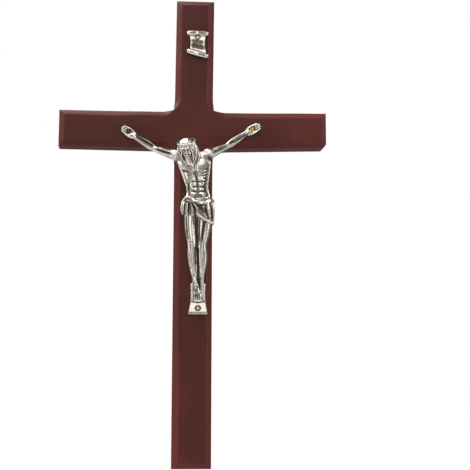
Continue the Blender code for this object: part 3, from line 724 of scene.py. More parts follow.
def modelArm(clay, joints):
    shoulder, elbow, wrist, side = (joints[name] for name in ("shoulder", "elbow", "wrist", "side"))
    clay.tube([(*between(shoulder, elbow, -0.28), 2.7, 2.3),
               (*between(shoulder, elbow, 0.1), 2.55, 2.25),
               (*between(shoulder, elbow, 0.55), 2.05, 1.85), (*elbow, 1.6, 1.5),
               (*between(elbow, wrist, 0.25), 1.95, 1.6), (*between(elbow, wrist, 0.6), 1.7, 1.35),
               (*wrist, 1.3, 1.05), (*between(elbow, wrist, 1.12), 1.3, 1)], 1.4, steps=10)

    # Rows of (share of the bone, mm across it, radius) as rows for the skin
    def along(start, end, rows):
        run = np.subtract(end, start)
        up = np.array([-run[2], 0, run[0]]) / math.hypot(run[0], run[2]) * side
        spots = [np.array(between(start, end, share)) + up * across for share, across, _ in rows]
        return [(spot[0], spot[2], row[2]) for spot, row in zip(spots, rows)]

    # Deltoid, then biceps, the muscle under the arm and the grooves beside them
    x, z, _ = along(shoulder, elbow, [(0.08, 0.5, 0)])[0]
    clay.onSkinBall(x, z, (3.2, 1.4, 1.8), -1, 1, rolled(-20 * side))
    for lift, blend, rows in (
        (-0.6, 0.7, ((0.3, 0.3, 0.8), (0.58, 0.25, 1.15), (0.9, 0.1, 0.7))),
        (-0.4, 0.6, ((0.1, -1.4, 0.6), (0.45, -1.15, 0.8), (0.9, -0.75, 0.5))),
        (0.2, 0.35, ((0.2, -0.6, 0.3), (0.5, -0.5, 0.42), (0.92, -0.3, 0.3))),
        (0.2, 0.3, ((0.26, 1.2, 0.3), (0.55, 1.1, 0.36), (0.85, 0.85, 0.25))),
    ):
        clay.onSkin(along(shoulder, elbow, rows), lift, blend, carve=lift > 0)
    # Forearm: two rounded rims, a long hollow between them, and the point of the elbow
    for lift, blend, rows in (
        (-0.22, 0.4, ((0.02, 0.95, 0.5), (0.4, 1.3, 0.55), (0.8, 0.95, 0.46), (1.08, 0.85, 0.4))),
        (-0.22, 0.4, ((0.02, -0.9, 0.5), (0.4, -1.25, 0.55), (0.8, -0.9, 0.46), (1.08, -0.8, 0.4))),
        (joints["hollow"], 0.35, ((0.12, 0.05, 0.6), (0.42, 0.1, 1), (0.75, 0.05, 0.7),
                                  (1, 0, 0.4))),
        (-0.45, 0.6, ((-0.1, 0.3, 0.6), (0.04, -0.4, 0.7))),
    ):
        clay.onSkin(along(elbow, wrist, rows), lift, blend, carve=lift > 0)


def modelLegs(clay):
    leftLeg = [
        (-1.4, 4.7, -46.5, 3.3, 3.2), (-1.6, 4.9, -51.4, 3.1, 3.2), (-1.3, 5.6, -57, 2.85, 2.9),
        (-0.8, 6.2, -62, 2.4, 2.4), (-0.7, 6.1, -64.6, 2.3, 2.25), (-0.2, 4.9, -69.5, 2.65, 2.4),
        (0.3, 4.2, -75, 2.15, 2.1), (0.75, 3.5, -80.2, 1.35, 1.5)]
    rightLeg = [
        (6.2, 4.7, -46.5, 3.5, 3.2), (6.2, 4.9, -51.4, 3.4, 3.2), (5.7, 5.5, -57, 2.95, 2.9),
        (4.85, 6, -62.4, 2.35, 2.4), (4.75, 5.9, -65, 2.25, 2.25), (5.1, 4.7, -70, 2.45, 2.3),
        (4.95, 3.8, -75, 1.95, 2), (4.8, 3, -80, 1.2, 1.4), (4.7, 2.6, -85, 1.2, 1.2),
        (4.1, 2.3, -89.6, 1.2, 1)]
    # The casting is closed between the legs, a little below their fronts.
    clay.tube([(2.2, 4.4, -46, 2.2, 2.7), (2.2, 4.7, -52, 1.9, 2.7), (2.05, 5.1, -63, 1.5, 2.5),
               (2.5, 3.7, -71, 1.4, 2.3), (2.9, 2.2, -80, 1.6, 1.8), (3.1, 1.2, -88, 1.6, 1.4)],
              0.3, steps=14)
    clay.tube(rightLeg, 0.5, steps=14)
    clay.tube(leftLeg, 0.5, steps=14)
    # Hollows between the long muscles of the thighs
    clay.groove([(-3.9, -48.6, 0.4), (-3.7, -53, 0.5), (-3.2, -58, 0.45), (-2.5, -61.8, 0.3)],
                0.28, 0.5)
    clay.groove([(0.55, -48.6, 0.4), (0.6, -53.5, 0.5), (0.55, -58.5, 0.45), (0.35, -61.8, 0.3)],
                0.36, 0.6)
    clay.groove([(6.6, -50.5, 0.7), (6.2, -54.5, 1.1), (5.7, -59, 1), (5.3, -62, 0.5)], 0.6, 0.8)
    # A short dark crease at each knee
    for x, z in ((-1, -62.6), (4.5, -63.1)):
        clay.groove([(x - 1.5, z + 0.3, 0.1), (x - 0.6, z - 0.02, 0.22), (x + 0.5, z - 0.02, 0.22),
                     (x + 1.3, z + 0.3, 0.1)], 0.06, 0.15)
    # Calves
    clay.groove([(0.7, -65.5, 0.3), (0.9, -69, 0.5), (1.2, -73.5, 0.55), (1.4, -78, 0.3)],
                0.32, 0.6)
    clay.groove([(-2.3, -68, 0.3), (-1.9, -71.5, 0.4), (-1.1, -76, 0.3)], 0.28, 0.6)
    clay.groove([(5.9, -67, 0.3), (5.7, -70.5, 0.45), (5.3, -75.5, 0.4), (5, -78.5, 0.3)],
                0.32, 0.6)
    # Narrow dark line where the legs meet
    clay.groove([(2.25, -48, 0.3), (2.15, -56, 0.32), (2, -64, 0.32), (2.45, -70, 0.32),
                 (2.75, -76, 0.34), (3, -79.5, 0.34), (3.3, -82.5, 0.3)], 0.05, 0.25)


def modelFeet(clay):
    # The nearer foot crosses in front of the other.
    clay.tube([(0.75, 3.5, -80, 1.35, 1.5), (1.2, 3.5, -83, 1.45, 1.5), (1.7, 3.5, -86, 1.8, 1.4),
               (1.95, 3.15, -87.6, 2.1, 1.2)], 0.4, steps=10)
    clay.onSkin([(-0.3, -78.6, 0.5), (0.9, -81.6, 0.5), (2.8, -85, 0.42)], -0.12, 0.35)
    clay.groove([(1.9, -80.6, 0.26), (3.1, -83.2, 0.34), (3.7, -86, 0.26)], 0.12, 0.25)
    clay.groove([(0, -82.4, 0.26), (0.5, -85.4, 0.34), (0.5, -88, 0.26)], 0.16, 0.3)
    for k in range(3):
        clay.onSkin([(1.1 + 0.5 * k, -87.4, 0.18), (1 + 0.98 * k, -89.6, 0.26)], -0.08, 0.25)
    clay.onSkinBall(1.75, -86.1, (0.72, 0.55, 0.72), -0.05, 0.15)
    toes = ((0.42, -91.2), (0.45, -91.6), (0.48, -91.8), (0.5, -91.9), (0.62, -92))
    for k, (size, tip) in enumerate(toes):
        x = 0.1 + 0.96 * k + (0.1 if k == 4 else 0)
        clay.tube([(x * 0.9 + 0.2, 2.9, -88.6, size * 0.85), (x, 3.2, -90, size * 0.95),
                   (x, 2.9, tip + size, size * 1.05)], 0.06)
    for k in range(4):
        clay.groove([(0.62 + 0.95 * k, -89.9, 0.08), (0.59 + 0.98 * k, -90.8, 0.13),
                     (0.6 + 0.98 * k, -91.5, 0.13)], 0.02, 0.1)


def modelTorso(clay):
    clay.trunk(trunkStations)
    # Neck and shoulders
    clay.tube([(0.8, 4.4, -18.5, 3, 2.6), (-0.8, 5.6, -15.5, 2.4, 2.3),
               (-2.4, 6.8, -13.2, 2.3, 2.3)], 1)
    for side in (-1, 1):
        clay.tube([(0.2 + side * 7.6, 4.6, -15.6, 1.6, 1.5),
                   (-0.4 + side * 2.8, 5.4, -15, 1.4, 1.3)], 1.2)
    for side, x, z in ((-1, -4.4, -21.3), (1, 5.1, -20.2)):
        clay.onSkinBall(x, z, (3.9, 1.9, 3.2), -1.2, 1.3, rolled(-18 * side))
        outer = 1.6 if side > 0 else 0.7
        clay.groove([(x - side * 2.4, z - 3.5, 0.25), (x - side * 0.4, z - 4.1, 0.42),
                     (x + side * outer, z - 3.7, 0.34), (x + side * (outer + 1.2), z - 2.8, 0.2)],
                    0.22, 0.4)
        # Collar bone
        clay.onSkin([(0.6 + side * 0.9, -17.5, 0.4), (0.5 + side * 3.6, -16.6, 0.5),
                     (0.3 + side * 6.8, -15.5, 0.45)], -0.2, 0.45)
        clay.groove([(0.6 + side * 1.6, -18.4, 0.3), (0.5 + side * 4, -17.7, 0.4)], 0.26, 0.35)
    clay.groove([(0.3, -18.6, 0.4), (0.8, -21.5, 0.6), (1.1, -24.8, 0.6)], 0.38, 0.5)
    # The broad muscle at each flank, running up to the arm
    clay.onSkin([(8.3, -17.8, 0.6), (8.2, -21.5, 0.85), (7.6, -27.5, 0.7), (7, -33, 0.6),
                 (8.3, -38.6, 0.7)], -0.2, 0.6)
    clay.onSkin([(-8.3, -18.6, 0.6), (-7.2, -21.8, 0.85), (-4.9, -28, 0.7), (-3, -34, 0.6),
                 (-3.2, -38.4, 0.7)], -0.3, 0.6)
    clay.groove([(7.6, -21, 0.25), (7.1, -23.6, 0.4), (6.3, -29, 0.5), (5.8, -33.5, 0.6),
                 (6.9, -38, 0.4)], 0.28, 0.45)
    clay.groove([(-3.3, -31.2, 0.25), (-1.9, -34, 0.45), (-2.2, -37.5, 0.4)], 0.28, 0.45)
    # Ribs and the arch that they end in
    for side, middle in ((-1, 1), (1, 1.3)):
        clay.onSkin([(middle + side * 0.7, -25.2, 0.35), (middle + side * 1.9, -27.6, 0.42),
                     (middle + side * 3.3, -30.4, 0.4), (middle + side * 4.3, -32.2, 0.3)],
                    -0.2, 0.4)
        for k in range(5):
            z = -24.9 - 1.45 * k
            start = middle + side * (1.7 + 0.55 * k)
            tip = middle + 0.25 * k + side * (6.1 - 0.4 * k) - 0.6 * min(side, 0)
            clay.onSkin([(start, z - 0.7, 0.25), ((start + tip) / 2, z - 0.3, 0.42),
                         (tip, z + 0.9, 0.3)], -0.24, 0.3)
            clay.groove([(start, z - 1.4, 0.14), ((start + tip) / 2, z - 1, 0.28),
                         (tip, z + 0.15, 0.2)], 0.14, 0.22)
    clay.onSkinBall(1.2, -27, (0.8, 0.6, 1.3), 0.25, 0.5, carve=True)
    # Belly: a middle line, three rows of muscle and the hollow above the belt
    for z, x in ((-29.4, 1.7), (-32.1, 2.1), (-34.6, 2.4)):
        for side in (-1, 1):
            clay.onSkinBall(x + side * 1.7, z, (1.5, 0.85, 1.1), -0.5, 0.5)
    clay.groove([(1.4, -27.8, 0.3), (2, -31.5, 0.4), (2.4, -35.8, 0.34)], 0.2, 0.35)
    for z, x in ((-30.8, 1.9), (-33.4, 2.3), (-35.9, 2.5)):
        clay.groove([(x - 2.9, z + 0.45, 0.2), (x, z, 0.34), (x + 2.9, z + 0.45, 0.2)], 0.18, 0.3)
    for side in (-1, 1):
        clay.onSkinBall(2.6 + side * 2.2, -37.2, (2.1, 1, 1.3), -0.4, 0.5, rolled(14 * side))
    clay.onSkinBall(2.4, -38.4, (2.3, 0.9, 1), 0.3, 0.5, carve=True)
    clay.onSkinBall(2.55, -36.5, (0.34, 0.4, 0.44), 0.1, 0.2, carve=True)


def modelArms(clay):
    for joints in arms.values():
        modelArm(clay, joints)


bodyLook = {
    "low": (-34, -1, -77.4), "high": (31.5, 14.5, -1), "step": 0.24, "seam": (-76.4, -1),
    # Painted shade on the throat and left chest under the beard, between the legs and down the
    # inner calf, down the left flank and on the outer side of the right thigh; the other rows are
    # darker streaks along the arms and in the hollows of the chest, belly, flank and left thigh.
    "patinaAndPaintedShade": (
        (-30.3, -5.2, -21.6, -11, 0.8, 0.6), (-19.2, -13, -12.6, -15.2, 0.6, 0.35),
        (28.4, -3.3, 19.6, -8.6, 0.65, 0.55), (16.5, -10.4, 11, -13.4, 0.5, 0.25),
        (5.9, -51.5, 4.2, -61.6, 1, 0.6), (1.85, -50, 1.85, -62, 0.7, 0.5),
        (-3.6, -49.5, -2.9, -60.5, 0.45, 0.3), (0.8, -65.2, 1.4, -73.5, 0.6, 0.4),
        (2.9, -66, 2.6, -77, 0.55, 0.4), (-4.5, -21.5, -0.6, -23.4, 1.3, 0.42),
        (0.4, -26.2, 0.9, -28.2, 1, 0.3), (-2.4, -32.5, -2.4, -37.4, 0.5, 0.4),
        (5.7, -33, 6.7, -38, 0.6, 0.35), (1.1, -38.5, 3.7, -38.4, 0.8, 0.36),
        (1.5, -29, 2.3, -35.5, 0.3, 0.3),
    ),
}
feetLook = {
    "low": (-3.6, -0.8, -94), "high": (7.8, 7.6, -76.2), "step": 0.13, "seam": (-77.2, 1),
    "patinaAndPaintedShade": ((1.9, -85.6, 2.1, -89.2, 1.1, 0.35),),
}
bodyPiece = castPiece("castBody", bodyLook, (modelTorso, modelArms, modelLegs), silver)
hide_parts("corpus")
feetPiece = castPiece("castFeet", feetLook, (modelLegs, modelFeet), silver)


# Cloth round the hips
def modelCloth(clay):
    clay.trunk([
        (2.5, 4.5, -39, 7.4, 3.9), (2.4, 4.6, -42, 8.4, 4.5), (2.45, 4.6, -45, 8.75, 4.7),
        (2.8, 4.6, -48, 8.3, 4.6), (3.3, 4.5, -51, 7.6, 4.5), (3.7, 4.3, -54.5, 6.8, 4.2),
    ], ends=0.8)
    # Folds fall from the knot, broad and soft, with hollows between them.
    clay.onSkinBall(4.3, -45.4, (2.9, 1, 3.2), 0.5, 0.9, rolled(25), carve=True)
    folds = (
        ([(-3.6, -39.3, 0.5), (-5, -40, 0.6), (-5.8, -42.4, 0.65), (-6, -45.2, 0.7),
          (-5, -48.4, 0.6)], 0),
        ([(-2.8, -40.4, 0.75), (-3.2, -43.6, 0.95), (-3.3, -46.6, 0.9), (-3.2, -49.4, 0.8)], -0.15),
        ([(-1.4, -41, 0.6), (-0.5, -44.2, 0.75), (-0.3, -46.8, 0.75), (-0.4, -49.6, 0.7)], -0.15),
        ([(-0.2, -41.4, 0.6), (1.2, -44.6, 0.75), (2.7, -47.6, 0.8), (5.4, -49.9, 0.9),
          (8.4, -51.7, 0.9), (10.2, -52.2, 0.7)], 0),
        ([(7.3, -41.6, 0.7), (7.7, -44.6, 0.95), (8.2, -47.6, 0.95), (8.9, -50.9, 0.8)], -0.05),
        ([(9.9, -41, 0.6), (10.2, -44.6, 0.7), (10.2, -48, 0.7), (10, -51.6, 0.6)], -0.1),
    )
    for rows, lift in folds:
        clay.onSkin(rows, lift, 0.45)
    for rows, lift in (
        ([(-4.2, -40.9, 0.35), (-4.7, -43.6, 0.5), (-4.6, -46, 0.5), (-4.2, -49, 0.4)], 0.18),
        ([(-1.9, -41.8, 0.3), (-2, -44.4, 0.42), (-1.9, -47, 0.45), (-1.8, -49.6, 0.4)], 0.16),
        ([(-0.7, -42, 0.3), (0.3, -44.6, 0.42), (0.8, -46.8, 0.45), (0.9, -49.4, 0.4)], 0.16),
        ([(-3.4, -41.2, 0.2), (-3.9, -43.6, 0.24), (-3.9, -46, 0.2)], 0.08),
        ([(-2.6, -41.4, 0.2), (-2.6, -44, 0.24), (-2.7, -46.8, 0.2)], 0.08),
        ([(8.9, -41.9, 0.3), (9.1, -44.8, 0.42), (9.3, -48, 0.42), (9.6, -51.2, 0.3)], 0.16),
    ):
        clay.groove(rows, lift, 0.3)
    # Fine creases inside the swag, and its rolled edge
    for k in range(5):
        clay.onSkin([(1.6 + 0.95 * k, -42.9 - 0.1 * k, 0.2),
                     (2.9 + 0.9 * k, -45.2 - 0.05 * k, 0.34),
                     (4.5 + 0.75 * k, -47.9 + 0.25 * k, 0.22)], -0.1, 0.2)
    clay.groove([(0.6, -43.6, 0.25), (1.9, -46.2, 0.36), (4.2, -48.4, 0.36), (7.2, -50.2, 0.3)],
                0.12, 0.25)
    clay.groove([(5.9, -42.9, 0.3), (6.6, -45.8, 0.4), (7.2, -48.8, 0.3)], 0.14, 0.3)
    # The hem, trimmed in shallow points
    x, z = clay.axes[0][:, None, None], clay.axes[2][None, None, :]
    across, level = zip(*clothLook["hem"])
    hem = np.interp(x.ravel(), across, level)[:, None, None]
    clay.field = softMax(clay.field, (hem - z) * 0.85, 0.5).astype(np.float32)
    # Twisted roll of the belt, and its knot
    belt = smoothRows([
        (-3, 7.8, -40.2), (-0.6, 8.9, -40.6), (1.9, 9.4, -41.4), (4.6, 9.4, -41.8),
        (7, 8.5, -41.2), (9.1, 6.7, -40.2), (10.2, 4.4, -40.2), (10.3, 2, -40.6)], 10)
    clay.tube([(*spot, 0.85) for spot in belt[::5]], 0.35)
    for phase in (0, 2.1, 4.2):
        turns = [phase + 0.24 * k for k in range(len(belt[::2]))]
        clay.tube([(x, out + 0.55 * math.cos(turn), z + 0.82 * math.sin(turn), 0.52)
                   for turn, (x, out, z) in zip(turns, belt[::2])], 0.1, steps=2)
    clay.onSkinBall(-3, -39.7, (1.6, 1, 1.25), -0.25, 0.4, rolled(-25))
    clay.onSkin([(-4.4, -39.2, 0.45), (-2.9, -38.9, 0.6), (-1.6, -39.9, 0.45)], 0, 0.25)
    clay.groove([(-4.4, -40.5, 0.25), (-3, -39.9, 0.32), (-1.7, -40.7, 0.25)], 0.12, 0.2)


clothLook = {
    "low": (-8.5, -0.8, -55.5), "high": (13.2, 12.8, -36.8), "step": 0.2,
    "hem": ((-7.5, -46.4), (-5.3, -48), (-4.4, -47.4), (-3.3, -48.9), (-2.1, -48.1), (-1, -49.6),
            (0.2, -49), (1.3, -48.6), (2.4, -49.4), (5.3, -51.3), (8.4, -52.7), (10.6, -53),
            (12.5, -52)),
    "patinaAndPaintedShade": (
        (2, -42.2, 5.6, -46.4, 1.2, 0.4), (-4.5, -40.6, -4.8, -46.4, 0.4, 0.4),
        (-1.3, -41.2, -0.2, -47.8, 0.45, 0.4), (9.9, -43, 10.2, -50.4, 0.45, 0.4),
    ),
}
clothPiece = castPiece("castCloth", clothLook, (modelCloth,), silver)


# Plate under the feet, with fine pits round its pin
plateLook = {
    "low": (-3.2, -0.8, -100.2), "high": (9, 3.6, -82.2), "step": 0.2,
    "middle": 2.9, "top": -83.2, "neck": -91.4, "foot": -99.2, "halfWidths": (5.1, 3.7, 3.8),
    "slant": 0.985, "thick": 1.5, "edge": 0.35, "pin": -96.1, "pinHole": 1.4,
    "pits": 45, "clearOfPin": 2.1, "flare": 0.16,
    "patinaAndPaintedShade": ((-1.4, -93, 7.2, -93, 0.6, 0.25), (-2.4, -98.4, 8.4, -98.4, 0.7, 0.3),
             (2.9, -96, 2.9, -95.4, 2, 0.16)),
}


def modelPlate(clay):
    look = plateLook
    middle, top, neck, foot = (look[name] for name in ("middle", "top", "neck", "foot"))
    x, z = clay.axes[0][:, None, None], clay.axes[2][None, None, :]
    half = np.interp(z.ravel(), (foot, neck, top), look["halfWidths"])[None, None, :]
    sides = (np.abs(x - middle) - half) * look["slant"]
    clay.slab(np.maximum(sides, np.maximum(z - top, foot - z)), look["thick"], look["edge"])
    for side in (-1, 1):
        clay.tube([(middle + side * 3.1, 1.2, -83.9, 0.7), (middle + side * 2.9, 1.4, -87.5, 0.75),
                   (middle + side * 3, 1.1, -92, 0.6)], 0.6)
    clay.groove([(-0.4, -92.6, 0.2), (middle, -93.1, 0.26), (6.2, -92.6, 0.2)], 0.12, 0.2)
    clay.groove([(-1.5, -98.4, 0.16), (middle, -98.5, 0.16), (7.3, -98.4, 0.16)], 0.06, 0.12)
    clay.drill(middle, look["pin"], look["pinHole"], 0.25, high=2.5)
    for _ in range(look["pits"]):
        x, z = chance.uniform(-1.6, 7.4), chance.uniform(-98.2, -92.8)
        clear = math.hypot(x - middle, z - look["pin"]) > look["clearOfPin"]
        if clear and abs(x - middle) < 3 + (neck - z) * look["flare"]:
            radii = (chance.uniform(0.07, 0.15),) * 3
            clay.ball((x, look["thick"] + 0.04, z), radii, 0.08, carve=True)


platePiece = castPiece("footPlate", plateLook, (modelPlate,), plateSilver)


# Head: drawn upright about the level of the eyes, then bowed to the viewer's left
headLook = {
    "low": (-13.2, -0.6, -26.5), "high": (6.8, 15.8, -4.4), "step": 0.15,
    "place": (-3.5, 8.5, -13.3), "bow": 22, "roll": 11, "turn": -12,
    "beardLocks": 7, "hairStrands": 15, "combedLines": 13,
    "patinaAndPaintedShade": ((-3.4, -11.5, -2.8, -17, 2.7, -0.34), (-2.6, -17.5, -2.2, -21, 2.2, -0.2)),
}


def aboutX(degrees):
    c, s = math.cos(math.radians(degrees)), math.sin(math.radians(degrees))
    return np.array([[1, 0, 0], [0, c, s], [0, -s, c]])


def aboutZ(degrees):
    c, s = math.cos(math.radians(degrees)), math.sin(math.radians(degrees))
    return np.array([[c, s, 0], [-s, c, 0], [0, 0, 1]])


headFrame = (np.array(rolled(-headLook["roll"])) @ aboutX(headLook["bow"])
             @ aboutZ(headLook["turn"]))


def fromHead(x, out, z):
    return tuple(headFrame @ np.array([x, out, z]) + np.array(headLook["place"]))


def modelHead(clay):
    turned = headFrame.T

    def ball(place, radii, blend=0.4, carve=False):
        clay.ball(fromHead(*place), radii, blend, turned, carve)

    def tube(rows, blend=0.25, carve=False, steps=5):
        clay.tube([(*fromHead(*row[:3]), row[3]) for row in rows], blend, carve, steps)

    ball((0, -0.7, 1.6), (4.55, 4.6, 4.25))
    ball((0, 1.1, -1.5), (3.2, 3.1, 4.2), 0.9)
    ball((0, 2.5, -4.4), (1.8, 1.7, 1.7), 0.7)
    # Brow, eye sockets, closed lids, cheeks and nose
    tube([(-2.5, 3.1, 0.7, 0.4), (-1.3, 3.85, 0.9, 0.4), (0, 4, 0.7, 0.4),
          (1.3, 3.85, 0.9, 0.4), (2.5, 3.1, 0.7, 0.4)], 0.6)
    for side in (-1, 1):
        ball((side * 1.4, 4.5, -0.05), (1.1, 0.66, 0.62), 0.5, carve=True)
        ball((side * 1.4, 3.45, -0.2), (1, 0.74, 0.6), 0.2)
        tube([(side * 0.6, 3.95, -0.35, 0.09), (side * 1.4, 4.14, -0.52, 0.12),
              (side * 2.2, 3.65, -0.3, 0.09)], 0.06, carve=True)
        ball((side * 1.95, 2.9, -1.5), (1.1, 0.85, 1), 0.8)
        ball((side * 0.45, 4.66, -1.85), (0.34, 0.36, 0.3), 0.22)
    tube([(0, 3.8, 0.5, 0.32), (0, 4.5, -0.8, 0.36), (0, 4.95, -1.7, 0.44)], 0.4)
    # Lips
    tube([(-0.8, 3.9, -3, 0.16), (0, 4.25, -2.9, 0.22), (0.8, 3.9, -3, 0.16)], 0.15)
    tube([(-0.7, 3.85, -3.35, 0.16), (0, 4.2, -3.42, 0.24), (0.7, 3.85, -3.35, 0.16)], 0.15)
    # Beard and moustache in curled locks
    ball((0, 1.9, -5.9), (2.55, 1.8, 3.2), 0.4)
    ball((0, 2.9, -2.9), (1.7, 1, 0.9), 0.5)
    for side in (-1, 1):
        for k in range(headLook["beardLocks"]):
            x = side * (0.22 + 0.45 * k)
            sway = side * 0.2 * math.sin(2.6 * k)
            tube([(x * 1.05, 3.75 - 0.26 * k, -3.75 + 0.45 * k, 0.26),
                  (x * 1.1 + sway, 4.3 - 0.3 * k, -4.9 + 0.3 * k, 0.34),
                  (x * 1.02 - sway, 4.15 - 0.32 * k, -6.1 + 0.25 * k, 0.33),
                  (x * 0.95 + sway, 3.85 - 0.3 * k, -7.3 + 0.3 * k, 0.32),
                  (x * 0.8 + side * 0.3 - sway, 3.5 - 0.28 * k, -8.5 + 0.4 * k, 0.28),
                  (x * 0.7 + side * 0.1, 3.2 - 0.26 * k, -9.35 + 0.5 * k, 0.2)], 0.09)
        for k in range(2):
            tube([(side * 0.12, 4.55 - 0.1 * k, -2.4 - 0.12 * k, 0.2),
                  (side * 0.9, 4.4 - 0.15 * k, -2.65 - 0.2 * k, 0.27),
                  (side * 1.65, 3.85 - 0.1 * k, -3.1 - 0.22 * k, 0.26),
                  (side * 2.2, 3.35, -3.6 - 0.25 * k, 0.2)], 0.08)
    # Hair in waves from under the crown to the shoulders
    for side in (-1, 1):
        ball((side * 3.5, -0.3, -2.6), (2.2 if side < 0 else 2.9, 3.3, 5.6), 0.7)
        for k in range(headLook["hairStrands"]):
            t = k / (headLook["hairStrands"] - 1)
            turn = math.radians(31 + 115 * t)
            reach = (7.4 if side < 0 else 8.9) - 1.5 * abs(t - 0.4)
            swell, tuck = (1.3, 3.8) if side < 0 else (2, 2.4)
            rows = []
            for step in range(12):
                s = step / 11
                swollen = swell * math.sin(math.pi * min(s * 0.72, 1))
                wide = 4.25 + swollen - tuck * max(s - 0.75, 0)
                wave = 0.24 * math.sin(15 * s + 2.3 * k + side)
                ripple = 0.32 * math.cos(15 * s + 1.7 * k)
                rows.append((side * (wide * math.sin(turn) + wave * math.cos(turn)),
                             -0.6 + wide * math.cos(turn) * 0.98 + ripple + 0.3 * s,
                             3.3 - (reach + 3.3) * s,
                             0.26 + 0.17 * min(4 * s, 1) - 0.18 * s * s))
            tube(rows, 0.1, steps=3)
    # Fine combed lines over the crown of the head
    half = (headLook["combedLines"] - 1) // 2
    for k in range(headLook["combedLines"]):
        across = (k - half) / half * 1.3
        rows = []
        for step in range(9):
            lean = math.radians(-70 + 130 * step / 8)
            sway = across + 0.05 * math.sin(2.1 * k + 0.9 * step)
            rows.append((4.36 * math.sin(sway) * math.cos(lean * 0.35),
                         -0.7 - 4.56 * math.sin(lean) * math.cos(sway * 0.8),
                         1.6 + 4.26 * math.cos(sway) * math.cos(lean), 0.11))
        tube(rows, 0.12, carve=True, steps=3)


headPiece = castPiece("castHead", headLook, (modelHead,), silver)


# A Geometry Nodes tree with named inputs, and the plain mesh that it makes
class Recipe(Wiring):
    def __init__(self, name, inputs, finish):
        self.tree = bpy.data.node_groups.new(name, "GeometryNodeTree")
        self.values, self.finish, self.marks = inputs, finish, {}
        sockets = self.tree.interface
        for way in ("INPUT", "OUTPUT"):
            sockets.new_socket("Geometry", in_out=way, socket_type="NodeSocketGeometry")
        for label, value in inputs.items():
            kind = "NodeSocketInt" if isinstance(value, int) else "NodeSocketFloat"
            made = sockets.new_socket(label, in_out="INPUT", socket_type=kind)
            self.marks[label] = made.identifier
        self.entry = self.tree.nodes.new("NodeGroupInput")

    def __getitem__(self, label):
        return Wire(self.tree, self.entry.outputs[label])

    def vector(self, **values):
        return self.node("ShaderNodeCombineXYZ", values=values)

    def vectorMath(self, kind, *values):
        return self.node("ShaderNodeVectorMath", {"operation": kind}, dict(enumerate(values)))

    def circle(self, count, radius=1):
        return self.node("GeometryNodeCurvePrimitiveCircle", {"mode": "RADIUS"}, {
            "Resolution": count, "Radius": radius})

    def moved(self, geometry, **values):
        return self.node("GeometryNodeSetPosition", values={0: geometry, **values})

    def made(self, name, geometry, startMesh):
        whole = self.node("GeometryNodeRealizeInstances", values={0: geometry})
        whole = self.node("GeometryNodeSetShadeSmooth", values={0: whole, "Shade Smooth": True})
        whole = self.node("GeometryNodeSetMaterial", values={0: whole, "Material": self.finish})
        exit = self.tree.nodes.new("NodeGroupOutput")
        self.tree.links.new(whole.socket, exit.inputs[0])
        holder = linked(name + "Start", startMesh)
        modifier = holder.modifiers.new(name, "NODES")
        modifier.node_group = self.tree
        for label, value in self.values.items():
            modifier[self.marks[label]] = value
        evaluated = holder.evaluated_get(bpy.context.evaluated_depsgraph_get())
        mesh = bpy.data.meshes.new_from_object(evaluated)
        bpy.data.objects.remove(holder)
        mesh.name = name
        return linked(name, mesh)


# Crown of thorns: three twigs twisted round a ring, with thorns set along it
crownLook = {"Ring width": 4.4, "Ring depth": 4.6, "Twig": 0.27, "Twist": 0.32, "Turns": 8,
             "Thorns": 26, "Thorn length": 0.95, "Seed": 5}
crownPlace = {"centre": (0, -0.55, 3.55), "tip": 10, "phases": (0, 2.1, 4.2), "points": 180}


